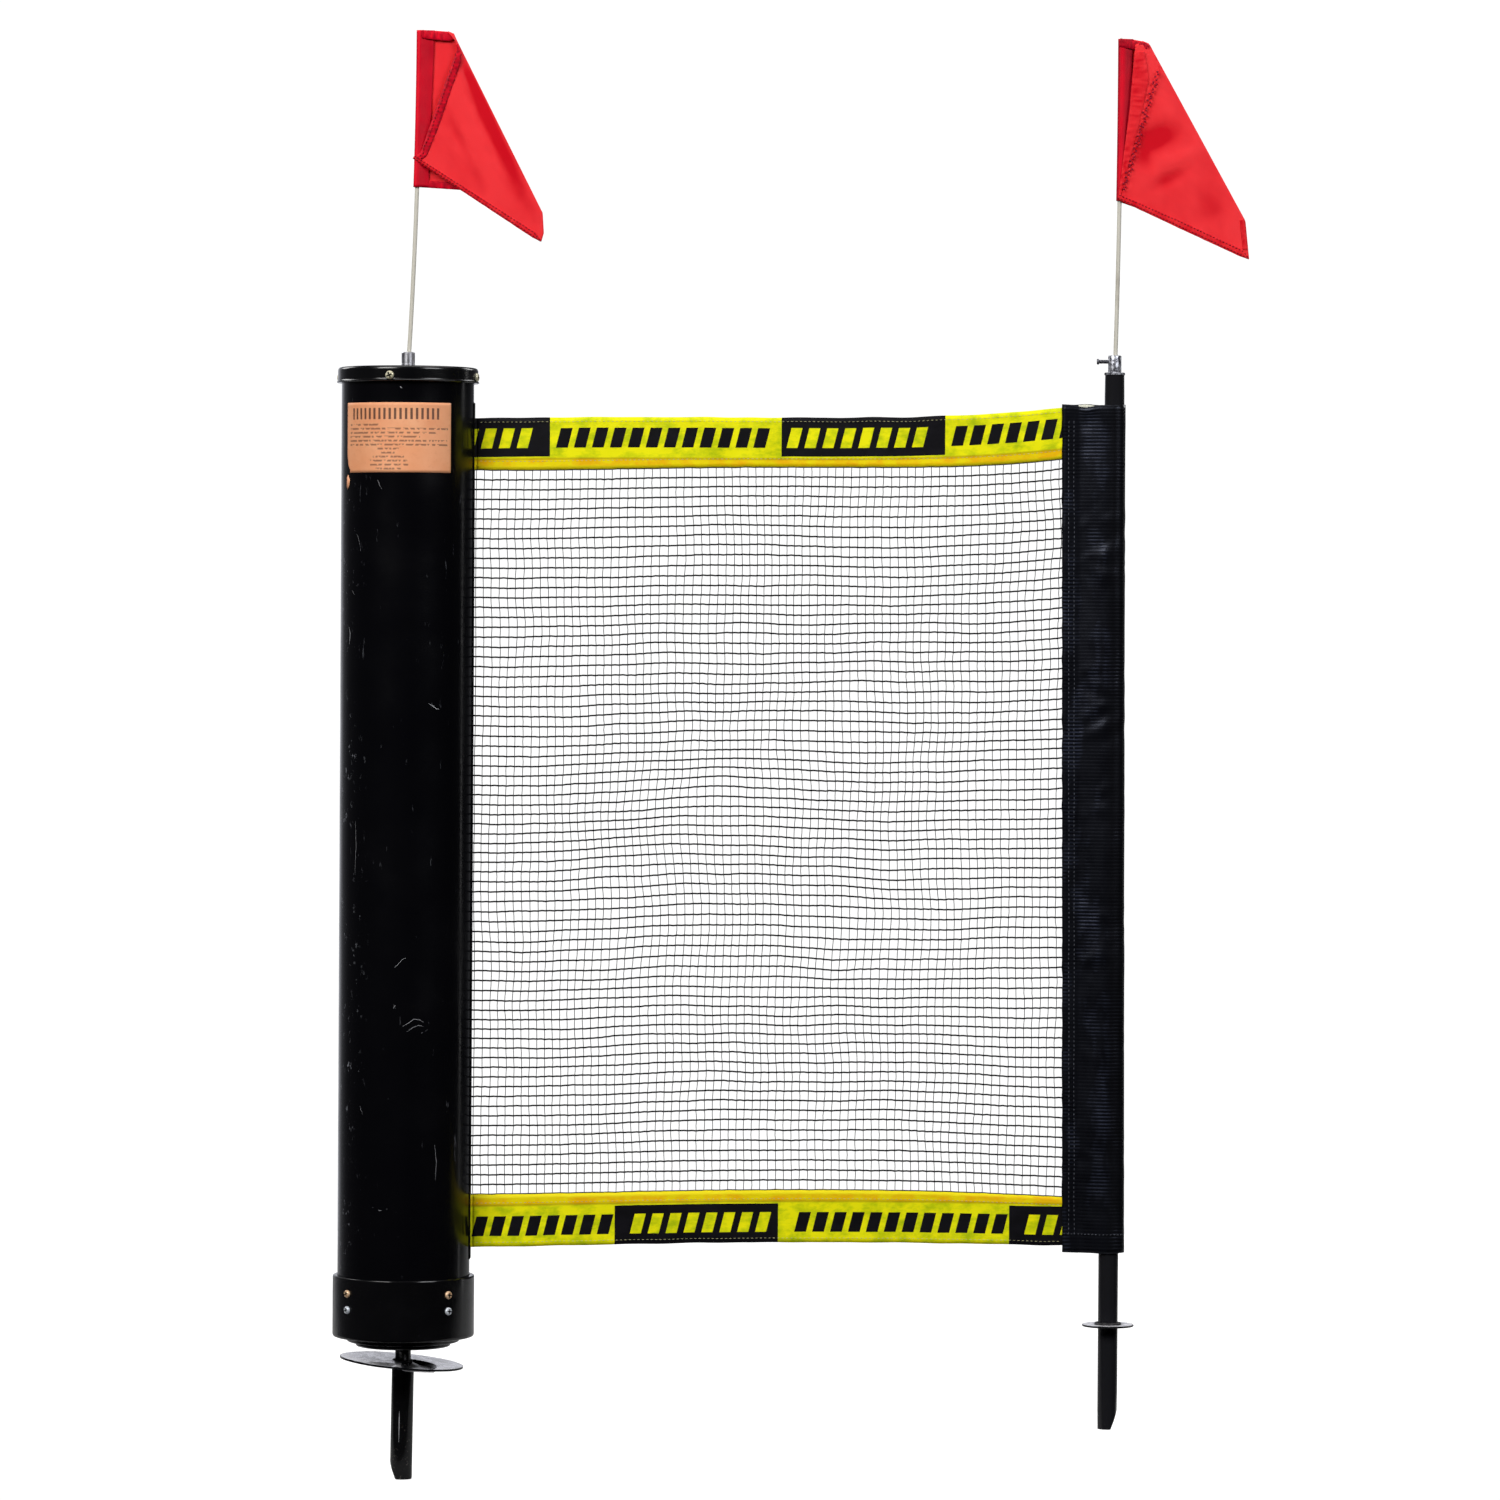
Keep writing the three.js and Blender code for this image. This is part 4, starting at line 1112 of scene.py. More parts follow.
def thread_tubes(paths, radius, sides, across):
    """Tubes round many lines of equally many points. across gives the two directions of their section."""
    lines = np.array(paths)
    count, length, _ = lines.shape
    angles = 2 * np.pi * np.arange(sides) / sides
    section = radius * (np.outer(np.cos(angles), across[0]) + np.outer(np.sin(angles), across[1]))
    points = (lines[:, :, None, :] + section[None, None]).reshape(-1, 3)
    rings = np.arange(count)[:, None, None] * length * sides + np.arange(length - 1)[None, :, None] * sides
    round_ring = np.arange(sides)[None, None, :]
    here, beside = rings + round_ring, rings + (round_ring + 1) % sides
    faces = np.stack([here, beside, beside + sides, here + sides], axis=-1).reshape(-1, 4)
    return points, faces


def net_threads(name, start, end, columns):
    """The knitted net: heavier threads along it, and finer, less even ones up it."""
    xs = steps(start, end, columns)
    along, up = [], []
    for j in range(NET_ROWS):
        share = (j + 1) / (NET_ROWS + 1)
        line = []
        for i, x in enumerate(steps(start, end, 2 * columns - 1)):
            tug = 0.22 * (1 if i % 2 else -1) * (0.4 + abs(smooth_noise(x / 30, j * 0.7, 31)))
            z = net_height(x, share) + tug + 0.5 * smooth_noise(x / 13, j * 1.3, 32)
            line.append((x, billow(x, z) - 0.2, z))
        along.append(line)
    for x in xs if start == NET_PIVOT else xs[:-1]:
        line = []
        for j in range(-1, 2 * NET_ROWS + 4):
            share = j / (2 * NET_ROWS + 2)
            z = net_height(x, min(max(share, 0), 1)) + (share < 0) * -3 + (share > 1) * 3
            edge = min(1, 12 * max(share, 0), 12 * max(1 - share, 0))
            wander = net_side(x, z) * edge + (0.5 if j % 2 else -0.5) * smooth_noise(x * 0.22, j * 0.9, 33)
            line.append((x + wander * min(1, (x - NET_ROOT) / 20), billow(x, z) + 0.35, z))
        up.append(line)
    first, first_faces = thread_tubes(along, ALONG_RADIUS, 4, ((0, 1, 0), (0, 0, 1)))
    second, second_faces = thread_tubes(up, UPRIGHT_RADIUS, 3, ((1, 0, 0), (0, 1, 0)))
    points = np.concatenate([first, second])
    faces = np.concatenate([first_faces, second_faces + len(first)])
    made = make(name, points.tolist(), faces.tolist(), "net", 80)
    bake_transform(made)
    return made


def net():
    """The net, and the short root of it that stays in the slot."""
    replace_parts(net_threads("net_threads", NET_PIVOT, NET_TO, 76), "net_mesh")
    net_threads("net_root", NET_ROOT, NET_PIVOT, 2)


def tape_ripple(x, v, seed):
    """How far a tape's cloth stands off smooth, at a share v of its width."""
    return 0.5 * smooth_noise(x / 24, v * 2, seed) + 0.9 * smooth_noise(x / 85, v, seed + 1)


def tape_rows(edges, outer, seed, start, end, count):
    """Points of one tape folded over the net's edge, and their UVs: U along it, V from its outer edge."""
    inner = "lower" if outer == "upper" else "upper"
    across, rows, uv = 12, [], []
    for i in range(across + 1):
        share = i / across
        row, row_uv = [], []
        for x in steps(start, end, count):
            from_edge = interpolate(TAPE_STATIONS, edges[outer], x)
            to_edge = interpolate(TAPE_STATIONS, edges[inner], x)
            z = from_edge + (to_edge - from_edge) * share
            z += 0.8 * smooth_noise(x / 33, seed) * (1 - share) ** 2
            z += 0.5 * smooth_noise(x / 11, seed + 3) * share**4
            inside = min(1, max(0, (x - 64) / 20)) * min(1, max(0, (NET_TO - 8 - x) / 14))
            row.append((x, billow(x, z) + tape_ripple(x, share, seed) * inside, z))
            row_uv.append((x * MM, abs(to_edge - from_edge) * share * MM))
        rows.append(row)
        uv.append(row_uv)
    return rows, uv


def tape_band(name, edges, outer, look, node, seed):
    """One tape: the band with its stitches and edge cord, and its root in the slot."""
    rows, uv = tape_rows(edges, outer, seed, NET_PIVOT, NET_TO, 246)
    band = grid_sheet(name, rows, look, uv, TAPE_THICKNESS)
    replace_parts(band, node)
    seams = []
    for share in (0.07, 0.8):
        row = rows[round(share * (len(rows) - 1))]
        seams += [[(x, y + out, z) for x, y, z in row[1:-4]] for out in (-0.8, 0.8)]
    thread_line = stitches(name + "_stitches", seams, "pale_thread", 4.2, 3.0, 0.28)
    edge = pipe(name + "_edge_cord", rows[-1][::2], TAPE_CORD_RADIUS, "dark_thread", 8)
    root_rows, root_uv = tape_rows(edges, outer, seed, NET_ROOT, NET_PIVOT, 5)
    root = grid_sheet(name + "_root", root_rows, look, root_uv, TAPE_THICKNESS)
    root_cord = pipe(name + "_root_cord", root_rows[-1], TAPE_CORD_RADIUS, "dark_thread", 8)
    for piece in (band, thread_line, edge):
        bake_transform(piece)
    for piece in (root, root_cord):
        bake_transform(piece)


# ---- pocket sleeve --------------------------------------------------------------------------------


def sleeve_left(z):
    """Where the pocket's sewn edge is at a height: a little further right lower down."""
    share = (SLEEVE_HIGH.z - z) / (SLEEVE_HIGH.z - SLEEVE_LOW.z)
    return SLEEVE_LEFT_TOP + (SLEEVE_LEFT_BOTTOM - SLEEVE_LEFT_TOP) * share


def sleeve_section(z):
    """Half of the pocket seen from above, from its sewn edge to past the post: x and distance from the
    middle plane of each point."""
    share = (SLEEVE_HIGH.z - z) / (SLEEVE_HIGH.z - SLEEVE_LOW.z)
    left = sleeve_left(z)
    seam = SLEEVE_SEAM + (left - SLEEVE_LEFT_TOP) * 0.6
    near, far = 10.5, 10.3 + 4.6 * share**1.3
    half = [(left, 0.9), (left + 4, 1.15), (left + 9, 0.95), (seam - 4, 1.2), (seam, 0.95)]
    half.append((seam + 3, 1.35))
    for t in steps(0.12, 0.86, 9):
        ease = t + 0.12 * sin(pi * t)
        half.append((seam + 3 + (POST_X - 6 - seam) * t, 1.35 + (near - 1.35) * ease))
    for angle in steps(radians(100), 0, 11):
        radius = near if angle > pi / 2 else far
        half.append((POST_X + radius * cos(angle), near * sin(angle) * (1 if angle else 0)))
    return half


def sleeve_crease(x, side, z):
    """Creases: slanting across the pocket in patches, and never far into the post."""
    patch = smoothstep(1.6 * smooth_noise(z / 75, side * 5, 45) + 0.45)
    slant = z + 0.35 * (x - SLEEVE_SEAM) * (1 if smooth_noise(z / 110, side, 43) > 0 else -1)
    level = 2.6 * smooth_noise(x / 34 + side * 7, slant / 15, 41) * patch
    fine = 0.6 * smooth_noise(x / 13, slant / 7, 42 + side) * patch
    broad = 1.1 * smooth_noise(x / 26, z / 90, 44 + side)
    loose = 1 - 0.8 * smoothstep((x - POST_X + 8) / 12)
    return max((level + fine + broad) * loose, -0.45)


def mouth(x, side, z):
    """The pocket's open top: the front edge sags and stands out, the back edge rises."""
    near = math.exp(-(((x - 650) / 8) ** 2)) * smoothstep((z - SLEEVE_HIGH.z + 14) / 14)
    return (-2.6, 1.6)[side] * near, 1.4 * near


def mouth_lining():
    """The pale inside of the pocket's back layer, seen through its open mouth."""
    outline = sleeve_section(SLEEVE_HIGH.z)[:14]
    rows = []
    for depth in steps(0, 7, 4):
        row = []
        for x in steps(643, 660, 14):
            lift, gape = mouth(x, 1, SLEEVE_HIGH.z)
            inner = float(np.interp(x, [p[0] for p in outline], [p[1] for p in outline]))
            row.append((x, inner + gape - 0.9, SLEEVE_HIGH.z + lift - 1.0 - depth))
        rows.append(row)
    uv = [[(x * MM, z * MM) for x, _, z in row] for row in rows]
    return grid_sheet("pocket_mouth_lining", rows, "lining", uv, 0.3)


def pocket_grid(heights):
    """Rows of points round the pocket, and their UVs."""
    rows, uv = [], []
    for z in heights:
        half = sleeve_section(z)
        line = [(x, -y) for x, y in half] + [(x, y) for x, y in half[-2::-1]]
        row, row_uv, run = [], [], 0.0
        for k, (x, y) in enumerate(line):
            before, after = line[max(k - 1, 0)], line[min(k + 1, len(line) - 1)]
            along = Vector((after[0] - before[0], after[1] - before[1])).normalized()
            out = Vector((along.y, -along.x))
            side = 0 if k < len(half) else 1
            stitched = 0.25 if x < SLEEVE_SEAM + 6 else 1
            shift = out * sleeve_crease(x, side, z) * stitched
            ragged = 0.9 * smooth_noise(z / 14, k, 48) if k in (0, len(line) - 1) else 0
            run += math.dist(line[k - 1], (x, y)) if k else 0
            hem = 0.35 if z < SLEEVE_LOW.z + SLEEVE_HEM else 0
            drop = 1.1 * smooth_noise(x / 22, side, 49) if z in (heights[0], heights[-1]) else 0
            lift, gape = mouth(x, side, z)
            row.append((x + shift.x + ragged, y + shift.y + out.y * (hem + gape), z + drop + lift))
            row_uv.append((run * MM, z * MM))
        rows.append(row)
        uv.append(row_uv)
    return rows, uv


def pocket_cloth():
    """The pocket sewn to the net's free end: its cloth, seams and lining."""
    heights = steps(SLEEVE_LOW.z, SLEEVE_HIGH.z, 200)
    rows, uv = pocket_grid(heights)
    cloth = grid_sheet("pocket_cloth", rows, "fabric", uv, POCKET_THICKNESS)
    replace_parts(cloth, "pocket_sleeve")
    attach(cloth, "net_end")
    seams = []
    for offset in (6.4, 11.4):
        for side in (-1, 1):
            seams.append([
                (sleeve_left(z) + offset + 0.5 * smooth_noise(z / 40, offset), side * 1.75, z)
                for z in heights[4:-2:2]
            ])
    hem_z = SLEEVE_LOW.z + SLEEVE_HEM
    section = sleeve_section(hem_z)[:24]
    front = [(x, -y - 0.75, hem_z + 0.5 * smooth_noise(x / 12, 5)) for x, y in section]
    seam_thread = stitches("pocket_stitches", seams, "grey_thread", 4.4, 3.0, 0.36)
    hem_thread = stitches("pocket_hem_stitches", [front], "grey_thread", 3.6, 2.4, 0.3)
    lining = mouth_lining()
    for piece in (seam_thread, hem_thread, lining):
        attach(piece, "net_end")


# ---- end post -------------------------------------------------------------------------------------


def end_post():
    """The slim post with its slanting point, the small disc on it, and their weld."""
    tube = cut_pipe("end_post_pipe", (POST_X, 0), 8, POST_RADIUS, top=POST_HIGH.z, tip=POST_LOW.z, side=1,
                    from_x=3, rise=19, look="post_paint")
    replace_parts(tube, "post_tube")
    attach(tube, "end_post")
    low, high, radius = DISC_LOW.z, DISC_HIGH.z, (DISC_HIGH.x - DISC_LOW.x) / 2
    bore = 9.6
    profile = [
        (bore, low), (radius - 0.4, low), (radius, low + 0.3), (radius, high - 0.3), (radius - 0.3, high),
        (radius - 1.1, high), *[(r, high) for r in steps(radius - 2, 13, 6)], (bore, high),
    ]
    disc = lathe("foot_disc", profile, "galvanised", (POST_X, 0), 96)
    shades = []
    for vertex in disc.data.vertices:
        x, y, z = vertex.co / MM
        out = math.hypot(x - POST_X, y)
        stained = 0.9 * smoothstep((15.5 + 5 * smooth_noise(x / 5, y / 5) - out) / 3)
        # A stain round the weld, and painted shade on the outer rim.
        shades.append((1 - stained) * (out < radius - 0.8))
    set_shade(disc.data, shades)
    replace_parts(disc, "post_foot_disc")
    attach(disc, "end_post")
    bead("disc_weld", (POST_X, 0, high + 0.6), 10.6, 1.7, 0, "end_post")


def top_fitting():
    """The cast fitting on the end post that the right flag rod stands in."""
    low, high, bore, radius = 952.15, FITTING_HIGH.z, 3.2, 6.4
    profile = [
        (7.4, 940), (7.6, 952.2), (9.6, low), (10, low + 0.4), (10, low + 2), (9.5, low + 2.4),
        (6.9, low + 2.5), (radius, low + 3.1), (radius, high - 0.9), (6.0, high - 0.2), (5.3, high),
        (3.6, high), (bore, high - 0.5), (bore, 944),
    ]
    made = lathe("top_fitting", profile, "cast", (POST_X, 0), 64)
    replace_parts(made, "post_top_fitting")
    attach(made, "end_post")


def thumb_screw():
    """A cross screw with a small knurled head, pointing to -X."""
    z = (THUMB_LOW.z + THUMB_HIGH.z) / 2
    tip, head_end = THUMB_HIGH.x, THUMB_LOW.x
    head_start, knurled = head_end + 2.2, 2.7
    crest, root, half_pitch = 1.95, 1.65, 0.35  # of the screw thread
    stations = [(tip - 0.1, 0.9), (tip - 0.6, crest)]
    stations += [(tip - 0.6 - half_pitch * i, crest if i % 2 else root) for i in range(1, 30)]
    stations += [
        (head_start + 0.1, 1.7), (head_start, 2.3), (head_start - 0.3, knurled), (head_end + 0.4, knurled),
        (head_end + 0.1, 2.45), (head_end, 2.0),
    ]
    sides, points = 40, []
    for x, radius in stations:
        for k in range(sides):
            angle = 2 * pi * k / sides
            knurl = 0.94 if radius == knurled and k % 2 else 1
            points.append((x, radius * knurl * cos(angle), z + radius * knurl * sin(angle)))
    faces = quads(len(stations), sides, wrap_columns=True)
    faces += [tuple(range(sides))[::-1], tuple(range(len(points) - sides, len(points)))]
    made = make("thumb_screw_knurled", points, faces, "dark_steel", 35, weld_points=True)
    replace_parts(made, "thumb_screw")
    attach(made, "clamp_screw")


# ---- flags ----------------------------------------------------------------------------------------


def rod_x(rod, z):
    """Where a rod is at a height: straight in its socket, curved above it."""
    height = z - rod["socket"]
    return rod["foot"] + rod["slope"] * height - (rod["bow"] * height * height if height > 0 else 0)


def flag_rod(name, rod, node, body):
    """A pennant's rod, rounded off at its top."""
    stations = 50
    heights = steps(rod["socket"] - 26, ROD_TOP, stations)
    radii = [ROD_RADIUS] * (stations - 2) + [ROD_RADIUS * 0.85, ROD_RADIUS * 0.4]
    made = pipe(name, [(rod_x(rod, z), 0, z) for z in heights], radii, "rod", 24)
    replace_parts(made, node)
    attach(made, body)


def along_line(points, t):
    """The point a share t along a line of [x, z] points."""
    spans = [math.dist(a, b) for a, b in zip(points, points[1:])]
    rest = t * sum(spans)
    for (a, b), span in zip(zip(points, points[1:]), spans):
        if rest <= span or (a, b) == (points[-2], points[-1]):
            k = min(rest / span, 1)
            return (a[0] + (b[0] - a[0]) * k, a[1] + (b[1] - a[1]) * k)
        rest -= span
    return points[-1]


# Outlines are lines of [x, z]. A crease is its middle's x and z, its length, its width and its depth, which
# also gives it painted shade when negative and a painted highlight when positive. A hem has its half width
# at shares of its edge. "round" is the pole sleeve's flat width in metres, "bore" its radius round the rod,
# and
# "top_hem" how light the top hem's painted shade is.
FLAGS = {
    "left": {
        "rod": LEFT_ROD, "node": "left_flag", "body": "left_pennant", "seed": 60,
        "pole": [(11.5, 1278), (6.5, 1128.1)],
        "sleeve": 13.2, "bore": 3.5, "round": 0.036, "top_hem": 0.5,
        "fold": [(36.4, 1277), (41.5, 1275), (44.6, 1268.0), (127.4, 1104), (128.6, 1085), (126.2, 1076.6)],
        "edge": [(37.5, 1275.5), (44.2, 1267), (45.4, 1260), (10.6, 1160), (4.3, 1155.3)],
        "bottom": [(6.5, 1128.1), (60.2, 1124.9), (100, 1101), (126.2, 1077)],
        "creases": [
            (57, 1237, 22, 5, -2.2), (72, 1202, 40, 7.5, -3.6), (97, 1146, 44, 6.5, -2.8),
            (52, 1190, 44, 11, 0.8), (47, 1178, 34, 4, -1.3), (66, 1136, 16, 5, -0.9),
        ],
        "seam": None,
        "flap_hem": [(0.1, 0.8), (0.22, 3.9), (0.7, 4.2), (0.99, 3.4)],
        "lower_hem": [(0.0, 0.6), (0.05, 3.0), (0.35, 2.6), (1.0, 1.8)],
    },
    "right": {
        "rod": RIGHT_ROD, "node": "right_flag", "body": "right_pennant", "seed": 80,
        "pole": [(679.1, 1273.9), (677.0, 1119.0)],
        "sleeve": 14.6, "bore": 3.1, "round": 0.032, "top_hem": 0.12,
        "fold": [(701.2, 1272), (707.5, 1269.5), (711.2, 1262.5), (800.8, 1100.7), (804.6, 1064)],
        "edge": [(694.5, 1268), (689.8, 1207), (679.0, 1121)],
        "bottom": [(678.0, 1119.0), (720, 1103.5), (765, 1083), (804, 1064.5)],
        "creases": [
            (716, 1179, 11, 18, -5.2), (701, 1160, 12, 10, -4.0), (728, 1141, 6, 18, -2.4),
            (768, 1112, 12, 14, -1.4), (738, 1160, 7, 20, 1.4), (722, 1214, 20, 8, 1.0),
        ],
        "seam": ((716.2, 1243.5), (684.2, 1129)),
        "flap_hem": [(0.04, 5.0), (0.2, 8.0), (0.5, 5.4), (0.97, 1.4)],
        "lower_hem": [(0.0, 0.8), (0.05, 3.4), (0.5, 3.6), (1.0, 2.6)],
    },
}
HEM_TALL = 8
FLAP_HEM_LOOK = {"left": ("flag_painted_shade", -1, 0.6), "right": ("flag", -1, 0.4)}  # look, side, pucker
# Painted light on a pole sleeve at shares of its width: a painted highlight over the rod, painted shade
# where it is sewn shut.
SLEEVE_LIGHT = {
    "left": ([0, 0.06, 0.13, 0.2, 0.5, 1], [0.3, 0.8, 1.0, 0.5, 0.42, 0.4]),
    "right": ([0, 0.1, 0.22, 0.34, 0.5, 0.8, 1], [0.1, 0.35, 0.75, 0.6, 0.25, 0.15, 0]),
}


def flag_relief(flag, x, z):
    """Soft folds of the cloth, towards -Y."""
    made = 1.1 * smooth_noise(x / 30, z / 52, flag["seed"])
    made += 0.4 * smooth_noise(x / 9, z / 13, flag["seed"] + 1)
    for at_x, at_z, length, width, depth in flag["creases"]:
        along, across = Vector((0.44, -0.9)), Vector((0.9, 0.44))
        here = Vector((x - at_x, z - at_z))
        made += depth * math.exp(-((here @ along / length) ** 2) - ((here @ across / width) ** 2))
    return made


def painted_pucker_shade(flag, x, z):
    """How much painted shade darkens the cloth between the puckers along a zigzag seam."""
    if not flag["seam"]:
        return 0
    (top_x, top_z), (low_x, low_z) = flag["seam"]
    t = min(max((top_z - z) / (top_z - low_z), 0), 1)
    off = abs(x - 1.5 - (top_x + (low_x - top_x) * t))
    return max(0, 1 - off / 6) * (0.3 + 1.3 * smooth_noise(x / 2.8, z / 2.6, 71))


def pennant_sheet(flag, side):
    """One continuous cloth: back layer from the pole, turned over at the fold, and the flap in front."""
    count, back, turn, front = 80, 26, 6, 40
    pole_side = [(x + flag["sleeve"] - 2.5, z) for x, z in flag["pole"]]
    columns = back + turn + front + 1
    rows, light = [], [0.7] * ((count + 1) * columns)
    for i in range(count + 1):
        t = i / count
        pole, fold, edge = (along_line(line, t) for line in (pole_side, flag["fold"], flag["edge"]))
        line = []
        for j in range(back):
            s = j / back
            base = along_line(flag["bottom"], s)
            chord = along_line([pole_side[-1], flag["fold"][-1]], s)
            x = pole[0] + (fold[0] - pole[0]) * s + (base[0] - chord[0]) * t**3 * (1 - s)
            z = pole[1] + (fold[1] - pole[1]) * s + (base[1] - chord[1]) * t**3
            line.append((x, 0.9 + 0.35 * smooth_noise(x / 20, z / 25, flag["seed"] + 5) * sin(pi * s), z))
        for j in range(turn):
            angle = pi * (j + 0.5) / turn
            line.append((fold[0] + 0.6 * sin(angle), 0.05 + 0.85 * cos(angle), fold[1]))
        for j in range(front + 1):
            s = j / front
            x, z = fold[0] + (edge[0] - fold[0]) * s, fold[1] + (edge[1] - fold[1]) * s
            relief = flag_relief(flag, x, z) * min(1, 0.3 + 12 * s)
            relief *= min(1, 0.25 + 3 * (1 - s)) * min(1, 4 * t)
            line.append((x, -0.8 - 3.0 * s**0.8 - max(-0.2 - 1.6 * s, 0.55 * relief), z))
            pucker_shade = painted_pucker_shade(flag, x, z)
            # Painted shade and highlight: darker in deep folds and between seam puckers, lighter where the
            # cloth stands out.
            light[i * columns + back + turn + j] = 0.88 + relief / 3.2 - pucker_shade
        rows.append(line)
    uv = []
    for line in rows:
        run = [0.0]
        for before, here in zip(line, line[1:]):
            run.append(run[-1] + math.dist(before, here))
        uv.append([(r * MM, point[2] * MM) for r, point in zip(run, line)])
    cloth = grid_sheet(f"{side}_pennant_cloth", rows, "flag", uv, PENNANT_THICKNESS)
    set_shade(cloth.data, light)
    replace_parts(cloth, flag["node"])
    return cloth, rows, back + turn


def pole_left(flag, z):
    """Where a pennant's edge along its pole is at a height."""
    (top_x, top), (low_x, low) = flag["pole"]
    return low_x + (top_x - low_x) * (z - low) / (top - low)


def pennant_sleeve(flag, side):
    """The pole sleeve: a flattened tube of the cloth round the rod, sewn shut beside it."""
    heights = steps(flag["pole"][1][1], flag["pole"][0][1], 60)
    rows, uv, light = [], [], []
    bore = flag["bore"]
    for z in heights:
        centre = rod_x(flag["rod"], z)
        right = pole_left(flag, z) + flag["sleeve"] - 2.2
        half = [(right + 1.2, 0.35), (right, 0.5), (right - 2, 0.75), (right - 4.5, 1.5)]
        half.append((centre + 2.2, 2.9))
        half += [(centre + bore * cos(a), bore * sin(a)) for a in steps(radians(60), radians(180), 7)]
        loop = [(x, -y) for x, y in half] + [(x, y) for x, y in half[-2::-1]]
        crease = [0.5 * smooth_noise(x / 6, z / 18 + y, flag["seed"] + 8) for x, y in loop]
        rows.append([(x, y - abs(c) if y < 0 else y + abs(c) * 0.4, z) for (x, y), c in zip(loop, crease)])
        uv.append([(k * 0.0018, z * MM) for k in range(len(loop))])
        left = centre - bore
        # Painted highlight over the rod and painted shade beside it.
        light += [float(np.interp((x - left) / (right + 1.2 - left), *SLEEVE_LIGHT[side])) for x, _ in loop]
    made = grid_sheet(f"{side}_pennant_sleeve", rows, "flag_painted_shade", uv, PENNANT_THICKNESS)
    set_shade(made.data, light)
    return made


def ribbon(name, line, half_widths, look, out=-1, pucker=0.5, seed=0, base=0.42):
    """A folded hem: a flat puckered band along points, standing out of the cloth, with rounded edges."""
    line = [Vector(p) for p in line]
    section = ((-1, 0.0), (-0.85, 0.5), (-0.4, 0.75), (0.4, 0.75), (0.85, 0.5), (1, 0.0), (0, -0.25))
    points = []
    for k, here in enumerate(line):
        ahead = (line[min(k + 1, len(line) - 1)] - line[max(k - 1, 0)]).normalized()
        across = Vector((ahead.z, 0, -ahead.x)).normalized()
        for j, (side, proud) in enumerate(section):
            bump = 1 + pucker * smooth_noise(k * 0.9, j * 0.8, seed) * 2
            wander = 0.5 * pucker * smooth_noise(k * 0.5, side * 3, seed + 1)
            lift = Vector((0, out * 0.8 * proud * bump, 0))
            points.append(here + across * (side * half_widths[k] + wander) + lift)
    count = len(section)
    faces = quads(len(line), count, wrap_columns=True)
    faces += [tuple(range(count)), tuple(range(len(points) - count, len(points)))[::-1]]
    # Painted shade on the hem: mottled along it, and darker along its edges and underside.
    light = []
    for k in range(len(line)):
        for j in range(count):
            light.append(base + 0.8 * smooth_noise(k * 0.62, j * 0.45, seed + 7) - 0.2 * (j in (0, 5, 6)))
    made = make(name, points, faces, look, 70, weld_points=True, shade=light)
    set_uv(made, [(v.co.x, v.co.z) for v in made.data.vertices])
    return made


def widths_along(stations, count):
    """Half widths for count points, from [share, half width] stations."""
    shares, values = [a for a, _ in stations], [b for _, b in stations]
    return list(np.interp(np.linspace(shares[0], shares[-1], count), shares, values))


def top_hems(flag, side):
    """The hem along a pennant's top edge, in front and behind."""
    top = flag["pole"][0][1] - HEM_TALL / 2 + 0.2
    left, right = pole_left(flag, top) + 0.4, flag["fold"][1][0] + 0.6
    made = []
    for name, sign in (("front", -1), ("rear", 1)):
        xs = steps(left, right, 24)
        share = [(x - left) / (right - left) for x in xs]
        drop = flag["pole"][0][1] - flag["fold"][1][1]
        line = [(x, sign * (3.7 - 2.5 * k), top - drop * k) for x, k in zip(xs, share)]
        half = [HEM_TALL / 2 * (1 - 0.45 * smoothstep((k - 0.85) / 0.15)) for k in share]
        name = f"{side}_pennant_{name}_top_hem"
        made.append(ribbon(name, line, half, "flag_painted_shade", sign, 0.8, flag["seed"] + 5, flag["top_hem"]))
    return made


def back_hem_and_seams(flag, middle):
    """The hem along the foot of the left pennant's back layer, and the two seams on its flap's hem."""
    count, half = 24, 3.4
    foot = [along_line(flag["bottom"], t) for t in steps(0.03, 0.42, count)]
    hem_line = [(x, -0.1, z + half) for x, z in foot]
    hem = ribbon("left_pennant_back_hem", hem_line, [half] * count, "flag_painted_shade")
    seams = [
        [(x + offset + 1.1 * smooth_noise(z / 3.5, offset), y - 0.75, z) for x, y, z in middle[5:]]
        for offset in (-1.6, 3.1)
    ]
    return hem, seams


def tip_hem_and_seam(flag):
    """The right pennant's hem at the end of its fold, and the zigzag seam across its flap."""
    count, half = 16, 2.4
    tip = [(x - half, -1.6, z) for x, z in (along_line(flag["fold"], t) for t in steps(0.84, 0.96, count))]
    hem = ribbon("right_pennant_tip_hem", tip, [half] * count, "flag", seed=9)
    line = [(716.2 - 32 * t, -5.6 + 0.9 * sin(pi * t), 1243.5 - 114.5 * t) for t in steps(0, 1, 41)]
    seam = []
    for k, (x, y, z) in enumerate(line):
        zigzag = (1.9 if k % 2 else -1.9) * (1 + 2.2 * smooth_noise(k * 0.9, 3))
        seam.append((x + zigzag, y, z + 2.4 * smooth_noise(k * 1.3, 7)))
    return hem, [seam]


